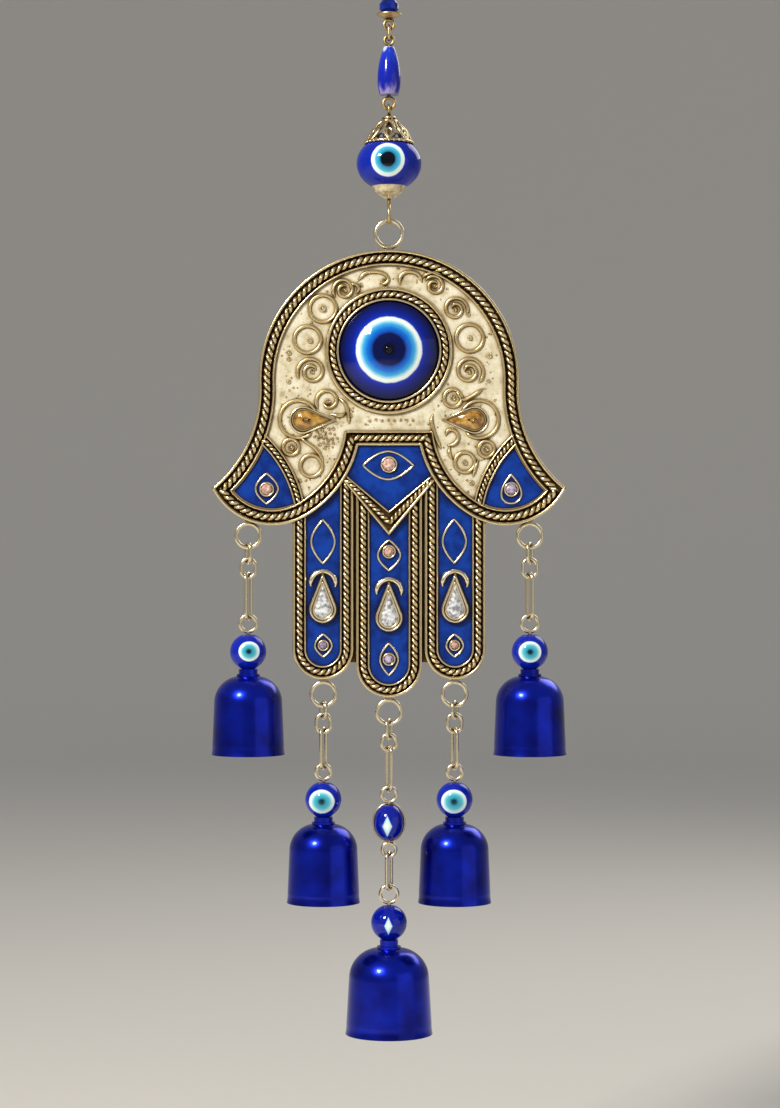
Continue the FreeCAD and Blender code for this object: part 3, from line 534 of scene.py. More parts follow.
def flipped(curve):
    return np.asarray(curve) * np.array([-1, 1])


def between(circle, a, b, clockwise):
    # arc of a circle (x, drop, radius) from point a to point b, one way round
    start, end = (math.atan2(p[1] - circle[1], p[0] - circle[0]) for p in (a, b))
    if clockwise and end < start:
        end += turn
    if not clockwise and end > start:
        end -= turn
    return arcCurve(circle[:2], circle[2], start, end)


def lowerCrossing(a, b):
    # lower one of the points where two circles (x, drop, radius) cross
    gap = math.dist(a[:2], b[:2])
    along = (gap ** 2 + a[2] ** 2 - b[2] ** 2) / (2 * gap)
    across = math.sqrt(max(a[2] ** 2 - along ** 2, 0))
    u, v = (b[0] - a[0]) / gap, (b[1] - a[1]) / gap
    found = [(a[0] + along * u - s * across * v, a[1] + along * v + s * across * u) for s in (1, -1)]
    return max(found, key=lambda p: p[1])


def palmRuns(inset, barDrop):
    # the palm's outline moved inwards: over the dome from tip to tip, then one lobe from its tip to the bar
    v = palm
    reach = v["domeRadius"] + v["flareRadius"]
    flareX = math.sqrt(reach ** 2 - (v["flareDrop"] - v["domeRadius"]) ** 2)
    dome = (0, v["domeRadius"], v["domeRadius"] - inset)
    flare = (flareX, v["flareDrop"], v["flareRadius"] + inset)
    lobe = (v["lobeX"], v["lobeDrop"], v["lobeRadius"] - inset)
    c, s = math.cos(v["lobeTurn"]), math.sin(v["lobeTurn"])
    wide = (lobe[0] + v["lobeGrowth"] * c, lobe[1] - v["lobeGrowth"] * s, lobe[2] + v["lobeGrowth"])
    share = dome[2] / reach
    waist = (flareX * share, dome[1] + (flare[1] - dome[1]) * share)
    tip = lowerCrossing(flare, lobe)
    notch = (lobe[0] - lobe[2] * c, lobe[1] + lobe[2] * s)
    end = (wide[0] - math.sqrt(wide[2] ** 2 - (barDrop - wide[1]) ** 2), barDrop)
    side = between(flare, waist, tip, False)
    over = between(dome, (-waist[0], waist[1]), waist, True)
    lobeRun = np.concatenate([between(lobe, tip, notch, True)[:-1], between(wide, notch, end, True)])
    return np.concatenate([flipped(side)[::-1], over[1:-1], side]), lobeRun, polyline(end, (-end[0], end[1]))


def palmOutline(inset, barDrop):
    # closed loop of the same outline
    top, lobe, bar = palmRuns(inset, barDrop)
    return np.concatenate([top[:-1], lobe[:-1], bar[:-1], flipped(lobe)[::-1][:-1]])


def inside(points, loop):
    # even-odd rule: how many sides of the loop lie to the right of each point
    a, b = loop, np.roll(loop, -1, 0)
    px, py = points[:, :1], points[:, 1:]
    crosses = (a[:, 1] > py) != (b[:, 1] > py)
    span = np.where(b[:, 1] == a[:, 1], 1e-9, b[:, 1] - a[:, 1])
    at = a[:, 0] + (py - a[:, 1]) / span * (b[:, 0] - a[:, 0])
    return (crosses & (px < at)).sum(1) % 2 == 1


def keptInside(curve, loop):
    # the run of a curve from its first point inside the loop to its last
    found = np.flatnonzero(inside(curve, loop))
    return curve[found[0]:found[-1] + 1]


def edgeAbove(x):
    # drop at which the palm's or the panel's lower edge crosses x
    v, x = palm, abs(x)
    split = v["lobeX"] - v["lobeRadius"] * math.cos(v["lobeTurn"])
    grow = v["lobeGrowth"] if x < split else 0.0
    centre = (v["lobeX"] + grow * math.cos(v["lobeTurn"]), v["lobeDrop"] - grow * math.sin(v["lobeTurn"]))
    palmEdge = centre[1] + math.sqrt(max((v["lobeRadius"] + grow) ** 2 - (x - centre[0]) ** 2, 0))
    return max(palmEdge, v["panelDrop"] - v["panelSlope"] * x) if x < 12.6 else palmEdge


def fingerRun(x, width, drop, inset):
    # down one side, round the tip and up the other, each side starting at the edge above it
    half, low = width / 2 - inset, drop - width / 2
    start, end = edgeAbove(x + half) - 0.3, edgeAbove(x - half) - 0.3
    return np.concatenate([
        polyline((x + half, start), (x + half, low))[:-1], arcCurve((x, low), half, 0, math.pi)[:-1],
        polyline((x - half, low), (x - half, end)),
    ])


def layWire(shell, curve, level, width, height, closed=False, taper=0.0):
    # half-round wire along a flat curve, thinning to a quarter over taper millimetres at its ends
    path = onHand(curve, level)
    along = tangents(path, closed)
    up = np.tile([0.0, -1.0, 0.0], (len(path), 1))
    scale = None
    if taper:
        walked = np.concatenate([[0], np.cumsum(np.linalg.norm(np.diff(path, axis=0), axis=1))])
        scale = 0.25 + 0.75 * np.clip(np.minimum(walked, walked[-1] - walked) / (taper * mm), 0, 1)
    sweepInto(shell, path, np.cross(along, up), up, domeProfile(width * mm, height * mm), closed, scale)


rope = {"strands": 2, "strand": 0.54, "twist": 0.44, "pitch": 3.5, "sides": 8, "step": 0.32}


def ropeInto(shell, path, up, size=1.0, closed=False):
    # two strands wound round the path: centre + twist * (cos a * across + sin a * up)
    ends = np.concatenate([path, path[:1]]) if closed else path
    walked = np.concatenate([[0], np.cumsum(np.linalg.norm(np.diff(ends, axis=0), axis=1))])
    length = walked[-1]
    count = max(10, int(length / (rope["step"] * mm)))
    at = np.linspace(0, length, count, endpoint=not closed)
    centre = np.stack([np.interp(at, walked, ends[:, k]) for k in range(3)], -1)
    ups = np.concatenate([up, up[:1]]) if closed else up
    lift = np.stack([np.interp(at, walked, ups[:, k]) for k in range(3)], -1)
    across = np.cross(tangents(centre, closed), lift)
    turns = length / (rope["pitch"] * size * mm)
    turns = max(1, round(turns)) if closed else turns
    for k in range(rope["strands"]):
        a = (at / length * turns + k / rope["strands"]) * turn
        out = np.cos(a)[:, None] * across + np.sin(a)[:, None] * lift
        strand = centre + rope["twist"] * size * mm * out
        lead = tangents(strand, closed)
        side = np.cross(lead, out)
        side /= np.linalg.norm(side, axis=1, keepdims=True)
        sweepInto(shell, strand, np.cross(side, lead), side,
            circleProfile(rope["strand"] * size * mm, rope["sides"]), closed)


def layRope(shell, curve, level, size=1.0, closed=False):
    # rope whose middle runs at that level over the hand
    path = onHand(curve, level)
    ropeInto(shell, path, np.tile([0.0, -1.0, 0.0], (len(path), 1)), size, closed)


def knobInto(shell, x, drop, level, radius, height):
    # low dome: half an ellipse of that radius and height turned about the line towards the viewer
    a = np.arange(12) * turn / 12
    b = np.linspace(0, math.pi / 2, 5)[:-1]
    ring = np.concatenate([[1.0], np.cos(b)])
    rise = np.concatenate([[-0.2 / max(height, 0.1)], np.sin(b)])
    px = x + radius * np.outer(ring, np.cos(a))
    pz = drop + radius * np.outer(ring, np.sin(a))
    depth = np.repeat(level + height * rise, 12)
    points = np.stack([px.ravel() * mm, handBack - depth * mm, handTop - pz.ravel() * mm], -1)
    hubs = onHand([(x, drop)], level - 0.2).tolist() + onHand([(x, drop)], level + height).tolist()
    quads = gridFaces(len(ring), 12, False, True)
    caps = np.concatenate([fanFaces(0, 12, len(points), True),
        fanFaces(len(points) - 12, 12, len(points) + 1, False)])
    shell.add(np.concatenate([points, hubs]), quads, caps)


# borders: rounded rims along both edges of each band, and a twisted rope between them
border = {"rim": 0.75, "innerRim": 0.5, "palm": 3.9, "finger": 3.4, "rise": 0.35,
    "horn": (51.2, 68.9, 28.0, 2.6)}
fingerSizes = [(16.5, 15.25, 107.25), (-16.5, 15.25, 107.25), (0.0, 16.5, 111.75)]


def makeBorders():
    # rounded rims along both edges of each border band, and a rope in the channel between them
    rims, ropes = Shell(), Shell()
    b, top = border, levels["palmRim"]
    for inset, width, bar in ((b["rim"] / 2, b["rim"], 48.5),
            (b["palm"] - b["innerRim"] / 2, b["innerRim"], 45.5)):
        over, lobe, across = palmRuns(inset, bar)
        for curve in (over, lobe, flipped(lobe), across):
            layWire(rims, curve, top, width, b["rise"])
    ropeLevel = levels["palmFloor"] + 0.75
    over, lobe, across = palmRuns((b["rim"] + b["palm"] - b["innerRim"]) / 2, 47.0)
    for curve in (over, lobe, flipped(lobe)):
        layRope(ropes, curve, ropeLevel)
    layRope(ropes, across, ropeLevel, 0.95)
    # round the eye
    layRope(ropes, arcCurve(eyeAt, 14.0, 0, turn)[:-1], ropeLevel + 0.1, 0.95, True)
    layWire(rims, arcCurve(eyeAt, 15.4, 0, turn)[:-1], top, 0.85, 0.45, True)
    layWire(rims, arcCurve(eyeAt, 12.76, 0, turn)[:-1], levels["bezel"], 0.6, 0.3, True)
    # between the side fields and the cream
    x, drop, radius, width = b["horn"]
    loop = palmOutline(b["palm"] - 0.6, 45.5)
    for side in (1, -1):
        circle, start = (side * x, drop), 0.0 if side > 0 else math.pi
        for r in (radius + 0.25, radius + width - 0.25):
            layWire(rims, keptInside(arcCurve(circle, r, start, start + turn), loop), top, 0.5, b["rise"])
        whole = arcCurve(circle, radius + width / 2, start, start + turn)
        layRope(ropes, keptInside(whole, loop), levels["palmFloor"] + 0.75, 0.75)
    # pointed panel between the lobes
    layWire(rims, polyline((-11.1, 57.5), (0, 70.8), (11.1, 57.5)), top, 0.7, b["rise"])
    layWire(rims, polyline((-10.4, 56.8), (0, 65.5), (10.4, 56.8)), top, 0.5, b["rise"])
    layRope(ropes, polyline((-10.6, 57.4), (0, 68.1), (10.6, 57.4)), ropeLevel, 0.8)
    # fingers
    for x, width, drop in fingerSizes:
        for inset, w in ((b["rim"] / 2, b["rim"]), (b["finger"] - b["innerRim"] / 2, b["innerRim"])):
            layWire(rims, fingerRun(x, width, drop, inset), levels["fingerRim"], w, b["rise"])
        middle = (b["rim"] + b["finger"] - b["innerRim"]) / 2
        layRope(ropes, fingerRun(x, width, drop, middle), levels["fingerFloor"] + 0.7, 0.92)
    rims.piece("borderRims", "hand", "antique_brass", rubbed)
    ropes.piece("borderRopes", "hand", "antique_brass", ropeBrass)


makeBorders()
print("borders made")

# scroll relief over the cream field: (x, drop, outer radius, inner radius, start angle, turns of the angle)
scrolls = {
    "spirals": [
        (-16.5, 14.7, 3.35, 3.3, 0.0, 6.28), (-20.3, 22.4, 3.35, 3.3, 0.0, 6.28),
            (-19.3, 30.4, 3.7, 1.1, 2.6, 9.8),
        (-11.2, 10.0, 2.9, 0.9, 2.4, 9.4), (11.3, 9.0, 2.6, 0.8, 3.6, 8.6),
            (16.5, 14.8, 3.2, 0.9, 0.5, -9.8),
        (20.1, 22.0, 3.4, 3.3, 0.0, 6.28), (19.9, 30.3, 3.8, 0.9, 0.9, -10.6),
            (15.9, 37.0, 2.2, 2.1, 0.0, 6.28),
        (-15.2, 37.7, 3.2, 1.3, 2.4, 6.6), (15.3, 46.4, 2.5, 1.0, 1.9, -5.2),
            (-19.4, 53.9, 2.7, 2.6, 0.0, 6.28),
        (18.9, 53.0, 2.5, 2.4, 0.0, 6.28), (-24.5, 49.2, 2.0, 1.9, 0.0, 6.28),
            (24.3, 49.7, 2.0, 1.9, 0.0, 6.28),
        (-8.9, 9.6, 1.5, 0.6, 1.2, -5.0),
    ],
    "bends": [
        [(-7.9, 7.9), (-6.0, 5.9), (-3.4, 5.5), (-1.0, 6.1), (-0.2, 7.5), (-1.2, 8.6), (-2.1, 7.8)],
        [(2.8, 8.9), (2.7, 7.0), (4.0, 5.7), (6.0, 5.6), (7.6, 6.5), (8.3, 8.3)],
        [(7.9, 7.2), (9.4, 6.2), (11.6, 5.7), (13.6, 6.8)],
            [(-12.6, 37.0), (-10.8, 38.6), (-10.2, 41.0), (-9.9, 43.6)],
        [(-14.8, 41.0), (-12.0, 41.4), (-10.6, 40.4)],
            [(16.6, 34.8), (17.4, 36.2), (18.6, 37.4), (20.6, 36.6), (23.6, 34.6)],
        [(15.3, 48.9), (15.0, 50.6), (15.9, 52.6)], [(11.0, 41.0), (10.6, 43.0), (11.5, 46.2), (13.0, 49.8)],
        [(-22.6, 46.6), (-18.0, 50.0), (-16.4, 53.4)], [(22.4, 52.2), (21.4, 54.6), (20.9, 56.8)],
    ],
    "rings": [(-22.6, 42.3, 4.7, 0.75, 5.95), (22.6, 42.3, 4.7, -2.8, 2.4)],
    "knobs": [
        (-16.6, 14.6, 0.95, 1.2), (-19.7, 22.6, 0.75, 1.0), (-11.1, 10.1, 0.7, 0.8), (-19.2, 30.5, 0.6, 0.7),
        (11.3, 9.1, 0.7, 0.8), (16.5, 14.9, 0.65, 0.8), (20.2, 22.0, 0.65, 0.9), (19.9, 30.4, 0.7, 0.8),
        (16.0, 37.0, 0.75, 0.8), (-15.3, 37.9, 0.8, 0.8), (18.9, 53.1, 0.75, 0.8), (-24.4, 49.3, 0.85, 0.9),
        (24.2, 49.7, 0.8, 0.8), (-1.5, 7.9, 0.7, 0.7), (19.7, 16.2, 0.6, 0.6), (-25.0, 25.7, 0.7, 0.6),
        (-25.0, 27.3, 0.6, 0.5), (-25.0, 33.0, 0.6, 0.5), (25.1, 26.5, 0.75, 0.6), (24.8, 32.8, 0.5, 0.5),
        (-9.6, 41.4, 0.5, 0.5), (-7.0, 8.8, 0.5, 0.5), (20.6, 58.2, 0.7, 0.6), (-22.2, 57.6, 0.5, 0.5),
    ],
    "wire": 0.92, "rise": 0.75,
}


def makeScrolls():
    # raised wires and knobs on the cream, with grains scattered in the open places
    lines, knobs = Shell(), Shell()
    s, level = scrolls, levels["palmEnamel"]
    for x, drop, outer, inner, start, sweep in s["spirals"]:
        whole = abs(sweep) == 6.28
        curve = arcCurve((x, drop), outer, 0, turn)[:-1] if whole else spiralCurve((x, drop), outer, inner,
            start, sweep)
        layWire(lines, curve, level, s["wire"], s["rise"], whole, 0.0 if whole else 1.2)
    for points in s["bends"]:
        layWire(lines, bent(points), level, s["wire"], s["rise"], taper=1.5)
    for x, drop, radius, start, end in s["rings"]:
        layWire(lines, arcCurve((x, drop), radius, start, end), level, s["wire"], s["rise"], taper=1.0)
    for x, drop, radius, height in s["knobs"]:
        knobInto(knobs, x, drop, level, radius, height)
    # blossom of small grains beside the left amber drop, and a row of them under the eye
    k = np.arange(22)
    radius = 0.66 * np.sqrt(k)
    for x, drop, r in zip(-15.9 + radius * np.cos(k * 2.4), 46.6 + radius * np.sin(k * 2.4),
            0.42 + 0.12 * np.cos(k * 1.7)):
        knobInto(knobs, x, drop, level, r, 0.45)
    for x in np.linspace(-4.8, 6.0, 8):
        knobInto(knobs, x, 42.6 + 0.25 * math.sin(x * 2.1), level, 0.42, 0.3)
    # loose grains along both sides of the field
    rng = np.random.default_rng(7)
    spots = np.stack([rng.uniform(-27, 27, 700), rng.uniform(4, 64, 700)], -1)
    field = palmOutline(border["palm"] + 0.7, 44.6)
    free = inside(spots, field) & (np.hypot(spots[:, 0], spots[:, 1] - eyeAt[1]) > 16.8)
    hornX, hornDrop, hornRadius, hornWidth = border["horn"]
    free &= np.hypot(np.abs(spots[:, 0]) - hornX, spots[:, 1] - hornDrop) > hornRadius + hornWidth + 0.6
    for x, drop, outer, *_ in s["spirals"]:
        free &= np.hypot(spots[:, 0] - x, spots[:, 1] - drop) > outer + 0.7
    free &= ~((np.abs(np.abs(spots[:, 0]) - 20.4) < 4.6) & (np.abs(spots[:, 1] - 42.4) < 3.4))
    for (x, drop), r in zip(spots[free], rng.uniform(0.16, 0.34, 700)):
        knobInto(knobs, x, drop, level, r, r * 0.7)
    lines.piece("scrollWires", "hand", "antique_brass", scrollBrass)
    knobs.piece("scrollKnobs", "hand", "antique_brass", grainBrass)


makeScrolls()
print("scrolls made")

# thin gold frames round the stones, crescents over the pears: centre, half width, half height, pinch
frames = {
    "leaves": [
        (-16.5, 72.8, 2.95, 5.45), (16.3, 72.7, 2.95, 5.45), (0.0, 76.2, 2.8, 3.8),
            (-16.4, 98.75, 2.1, 2.85),
        (16.4, 98.75, 2.1, 2.85), (0.0, 102.2, 2.25, 4.0), (-30.5, 59.6, 2.8, 3.8),
    ],
    "drops": [(30.5, 59.7, 2.6, 3.6)], "wire": 0.62, "rise": 0.45,
    "eye": (-0.2, 53.8, 6.3, 3.5), "crescents": [(-16.45, 83.4), (16.45, 83.4), (0.0, 85.4)],
    "crescent": {"radius": 3.1, "width": 1.4, "rise": 0.85, "start": math.pi - 0.2, "end": turn + 0.25},
}


def leafCurve(x, drop, halfWidth, halfHeight):
    # two bows that meet in points: half width * (1 - |u| ** 1.8) across, u going from -1 to 1 along
    u = np.linspace(-1, 1, 25)
    v = 1 - np.abs(u) ** 1.8
    right, left = np.stack([halfWidth * v, halfHeight * u], -1), np.stack([-halfWidth * v, halfHeight * u],
        -1)[::-1]
    return np.concatenate([right, left[1:-1]]) + np.array([x, drop])


def sidewaysLeaf(x, drop, halfWidth, halfHeight):
    # the leaf curve lying on its side
    return leafCurve(0, 0, halfHeight, halfWidth)[:, ::-1] + np.array([x, drop])


def dropCurve(x, drop, halfWidth, halfHeight):
    # a round foot that draws up into a point: width * sin(t) * sin(t / 2)
    t = np.linspace(0, turn, 48)[:-1]
    return np.stack([x + halfWidth * 1.25 * np.sin(t) * np.sin(t / 2), drop - halfHeight * np.cos(t)], -1)


def pearCurve(x, drop, radius, tip):
    # round end with two straight sides that meet in a tip above it
    a = math.asin(radius / tip)
    px, pz = radius * math.cos(a), radius * math.sin(a)
    return np.concatenate([
        polyline((x, drop - tip), (x + px, drop - pz))[:-1],
            arcCurve((x, drop), radius, -a, math.pi + a)[:-1],
        polyline((x - px, drop - pz), (x, drop - tip))[:-1],
    ])


pears = {"places": [(-16.5, 89.75), (16.5, 89.75), (0.0, 91.9)], "outer": (3.05, 8.3), "inner": (2.35, 6.9),
    "level": 3.3,
         "rim": (0.55, 0.3), "stone": (2.12, 6.4), "hub": -0.9,
         "rings": [(1.0, 2.05), (1.0, 3.3), (0.72, 3.85), (0.38, 4.05)], "turned": 2}


def makeFrames():
    # every frame and crescent, and the rounded edges of the pear settings
    gold = Shell()
    f = frames
    for leaf in f["leaves"]:
        level = levels["palmEnamel"] if abs(leaf[0]) > 20 else levels["fingerEnamel"]
        layWire(gold, leafCurve(*leaf), level, f["wire"], f["rise"], True)
    for shape in f["drops"]:
        layWire(gold, dropCurve(*shape), levels["palmEnamel"], f["wire"], f["rise"], True)
    x, drop, halfWidth, halfHeight = f["eye"]
    layWire(gold, sidewaysLeaf(x, drop, halfWidth, halfHeight), levels["palmEnamel"], f["wire"], f["rise"],
        True)
    c = f["crescent"]
    for x, drop in f["crescents"]:
        layWire(gold, arcCurve((x, drop), c["radius"], c["start"], c["end"]), levels["fingerEnamel"],
            c["width"], c["rise"], taper=1.2)
    for x, drop in pears["places"]:
        for radius, tip in (pears["outer"], pears["inner"]):
            layWire(gold, pearCurve(x, drop, radius, tip), pears["level"], *pears["rim"], True)
    gold.piece("goldFrames", "hand", "antique_brass", frameGold)


makeFrames()
print("frames made")

# ---- stones and glass of the hand ----

glassDome = {"radius": 12.45, "floor": 1.95, "edge": 1.6, "height": 5.95, "sides": 96, "rings": 28}


def makeGlassEye():
    # part of a ball over a straight edge: radius ball * sin(a), level floor + height - ball * (1 - cos(a))
    g = glassDome
    rise = g["height"] - g["edge"]
    ball = (g["radius"] ** 2 + rise ** 2) / (2 * rise)
    spread = math.asin(g["radius"] / ball)
    a = np.linspace(spread, 0, g["rings"] + 1)[:-1]
    radius = np.concatenate([[g["radius"]], ball * np.sin(a)])
    level = g["floor"] + np.concatenate([[0], g["height"] - ball * (1 - np.cos(a))])
    shell = Shell()
    domeInto(shell, 0.0, eyeAt[1], radius, level, g["sides"])
    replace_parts(shell.piece("glassEyeDome", "hand", "eye_glass", eyeGlass), "eye_glass")


def domeInto(shell, x, drop, radius, level, sides):
    # rings of those radii at those levels in front of the hand's back, closed with a hub at each end
    b = np.arange(sides) * turn / sides
    px = (x + np.outer(radius, np.cos(b))) * mm
    pz = handTop - (drop + np.outer(radius, np.sin(b))) * mm
    py = np.repeat((handBack - level * mm)[:, None], sides, 1)
    points = np.stack([px, py, pz], -1).reshape(-1, 3)
    hubs = [[x * mm, handBack - level[0] * mm, handTop - drop * mm],
        [x * mm, handBack - level[-1] * mm, handTop - drop * mm]]
    caps = np.concatenate([fanFaces(0, sides, len(points), True),
        fanFaces(len(points) - sides, sides, len(points) + 1, False)])
    shell.add(np.concatenate([points, hubs]), gridFaces(len(radius), sides, False, True), caps)


cutStones = {
    "rose": [(0.0, 53.6, 1.63, 2.7), (-30.5, 59.8, 1.4, 2.7), (0.0, 75.35, 1.25, 2.0),
        (16.4, 98.75, 0.95, 2.0)],
    "lilac": [(30.5, 59.8, 1.4, 2.7), (0.0, 102.2, 1.2, 2.0), (-16.4, 98.75, 0.95, 2.0)],
    "sides": 8, "girdle": 0.45, "bezel": (0.8, 0.9), "table": (0.5, 1.3),
    "collar": {"gap": 0.22, "level": 0.4, "width": 0.42, "rise": 0.28},
}


def makeStones():
    # eight-sided brilliants: a straight girdle, a crown in two slopes (share of radius, level), a flat table
    s, collar = cutStones, cutStones["collar"]
    shares = np.array([1.0, 1.0, s["bezel"][0], s["table"][0]])
    rises = np.array([0.0, s["girdle"], s["bezel"][1], s["table"][1]])
    for name, material in (("rose", roseGlass), ("lilac", lilacGlass)):
        shell = Shell()
        for x, drop, radius, level in s[name]:
            domeInto(shell, x, drop, shares * radius, level + rises, s["sides"])
        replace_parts(shell.piece(name + "Stones", "hand", "stone_glass", material, smooth=False),
            "round_stones")
    setting = Shell()
    for x, drop, radius, level in s["rose"] + s["lilac"]:
        ring = arcCurve((x, drop), radius + collar["gap"], 0, turn, 0.2)[:-1]
        layWire(setting, ring, level + collar["level"], collar["width"], collar["rise"], True)
    setting.piece("stoneCollars", "hand", "antique_brass", frameGold)


def makePears():
    # pear brilliants: rings middle + (outline - middle) * share, one of them turned by half a facet
    shell, rounds = Shell(), pears["rings"]
    for x, drop in pears["places"]:
        outline = pearCurve(0.0, 0.0, *pears["stone"])[::3]
        middle = np.array([0.0, pears["hub"]])
        rings = []
        for k, (share, level) in enumerate(rounds):
            flat = middle + (outline - middle) * share
            if k == pears["turned"]:
                flat = (flat + np.roll(flat, -1, 0)) / 2
            rings.append(onHand(flat + np.array([x, drop]), level))
        count = len(outline)
        hubs = [onHand([(x, drop + pears["hub"])], rounds[k][1]) for k in (0, -1)]
        points, last = np.concatenate(rings + hubs), len(rounds) * count
        caps = np.concatenate([fanFaces(0, count, last, True),
            fanFaces(last - count, count, last + 1, False)])
        shell.add(points, gridFaces(len(rounds), count, False, True), caps)
    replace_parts(shell.piece("pearBrilliants", "hand", "crystal", crystalGlass, smooth=False),
        "pear_crystals")


amberDrop = {"x": 21.4, "drop": 42.5, "radius": 2.75, "tail": 7.1, "level": 2.35, "rise": 1.6, "root": 0.3,
    "hub": 0.6,
             "rim": 3.2, "rimTail": 8.0, "wire": (0.6, 0.5)}


def teardropCurve(side, radius, tail):
    # round end outside and a point towards the eye
    a = math.pi - math.acos(radius / tail)
    loop = np.concatenate([[(-tail, 0.0)], arcCurve((0, 0), radius, -a, a, 0.25)])
    return loop * [side, 1] + np.array([side * amberDrop["x"], amberDrop["drop"]])


def makeAmber():
    # swollen teardrops: the outline drawn in and lifted along a quarter circle, inside a gold rim
    shell, rim = Shell(), Shell()
    d = amberDrop
    for side in (1, -1):
        a = np.linspace(0, math.pi / 2, 8)[:-1]
        outline = teardropCurve(side, d["radius"], d["tail"])
        middle = np.array([side * (d["x"] - d["hub"]), d["drop"]])
        rings = [onHand(outline, d["level"] - d["root"])]
        rings += [onHand(middle + (outline - middle) * math.cos(t),
            d["level"] + d["rise"] * math.sin(t)) for t in a]
        count = len(outline)
        points = np.concatenate(rings + [onHand([middle], d["level"] - d["root"]),
            onHand([middle], d["level"] + d["rise"])])
        hub = len(rings) * count
        caps = np.concatenate([fanFaces(0, count, hub, True), fanFaces(hub - count, count, hub + 1, False)])
        shell.add(points, gridFaces(len(rings), count, False, True), caps)
        layWire(rim, teardropCurve(side, d["rim"], d["rimTail"]), levels["palmEnamel"], *d["wire"], True)
    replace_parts(shell.piece("amberCabochons", "hand", "amber_resin", amber), "amber_drops")
    rim.piece("amberRims", "hand", "antique_brass", frameGold)


makeGlassEye()
makeStones()
makePears()
makeAmber()
print("stones made")


# ---- beads ----

def beadOutline(radius, half, flat, steps=24):
    # (radius, height) down the outside of a ball cut flat at both ends, and back up its bore
    a = np.linspace(-1, 1, steps + 1) * math.acos(flat / radius)
    outside = np.stack([radius * np.cos(a), half / math.sin(math.acos(flat / radius)) * np.sin(a)], -1)
    bore = np.array([[0.47, half], [0.47, 0.0], [0.47, -half]])
    return np.concatenate([outside, bore]) * mm


def eyeBead(name, body, node, slotName, material, radius, half, flat, eye, aim=(0.0, 0.0)):
    # turned bead whose points carry their place about the bead's middle, in eye widths
    middle = centreOf(node)
    shell = Shell()
    lathe(shell, beadOutline(radius, half, flat), middle, 72)
    bead = shell.piece(name, body, slotName, material)
    points = np.concatenate(shell.points)
    place = bead.data.attributes.new("place", "FLOAT_VECTOR", "POINT")
    place.data.foreach_set("vector", ((points - middle) / (eye * mm) - [aim[0], 0,
        aim[1]]).astype(np.float32).ravel())
    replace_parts(bead, node)
    return bead


# radius, half height, radius of the flats, eye radius, eye place in eye radii
beads = {
    "left_outer": (4.55, 4.3, 1.5, 2.6, (0.16, 0.1)), "right_outer": (4.55, 4.3, 1.5, 2.8, (-0.05, 0.04)),
    "left_inner": (4.55, 4.3, 1.5, 3.15, (-0.1, -0.05)),
        "right_inner": (4.55, 4.3, 1.5, 3.15, (-0.08, -0.05)),
}
for name, (radius, half, flat, eye, aim) in beads.items():
    eyeBead(name + "_eyeBead", name + "_bell", name + "_bell_bead", "bead_glass", smallEye, radius, half,
        flat, eye, aim)
# the pale lozenge on the middle and oval beads is a painted reflection
eyeBead("middle_paintedReflectionBead", "middle_bell", "middle_bell_bead", "bead_glass", paintedReflectionGlass, 4.5, 4.24, 1.5,
    1.0, (-0.15, -0.3))
eyeBead("oval_paintedReflectionBead", "middle_oval_bead", "oval_bead", "bead_glass", paintedReflectionGlass, 3.7, 4.4, 1.2, 1.2,
    (-0.35, -0.55))
eyeBead("largeEyeBead", "eye_bead", "eye_bead", "bead_glass", largeEye, 8.15, 6.25, 3.2, 4.4, (-0.06, 0.0))

# oval bead's wire setting: a round wire along the ellipse (hoop * cos a, hoop * sin a)
hoop = {"across": 3.9, "up": 4.75, "wire": 0.28, "steps": 72}
setting = Shell()
low, high = box("oval_bead_rim")
middle = (low + high) / 2
a = np.arange(hoop["steps"]) * turn / hoop["steps"]
loop = middle + np.stack([hoop["across"] * mm * np.cos(a), 0 * a, hoop["up"] * mm * np.sin(a)], -1)
front = np.tile([0.0, -1.0, 0.0], (len(a), 1))
sweepInto(setting, loop, np.cross(tangents(loop, True), front), front, circleProfile(hoop["wire"] * mm, 10),
    True)
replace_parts(setting.piece("ovalBeadHoop", "middle_oval_bead", "steel_wire", wire), "oval_bead_rim")


# ---- crown over the eye bead ----

crown = {
    "petals": 7, "wire": 0.36, "curl": 0.26, "grains": 28, "grain": 0.42, "foot": 5.9,
    "profile": ([0.0, 0.45, 0.8, 1.0], [5.9, 4.3, 1.9, 1.0]),
        "hoops": [(0.05, 0.42), (0.80, 0.34), (0.92, 0.42)],
    "neck": [(1.4, 0.78), (1.7, 0.84), (1.1, 0.94), (1.0, 1.0), (0.46, 1.0), (0.46, 0.78)],
}


def crownWire(shell, angle, up, closed=False, radius=None):
    # round wire along (angle, share of the height) on the crown's own cone
    low, high = box("eye_bead_crown")
    middle = (low + high) / 2
    height = low[2] + up * (high[2] - low[2])
    r = np.interp(up, *crown["profile"]) * mm
    path = np.stack([middle[0] + r * np.sin(angle), middle[1] - r * np.cos(angle), height], -1)
    along = tangents(path, closed)
    out = path - middle * [1, 1, 0] - path * [0, 0, 1]
    out /= np.linalg.norm(out, axis=1, keepdims=True)
    across = np.cross(along, out)
    across /= np.linalg.norm(across, axis=1, keepdims=True)
    sweepInto(shell, path, across, np.cross(across, along), circleProfile((radius or crown["wire"]) * mm, 8),
        closed)
    return path


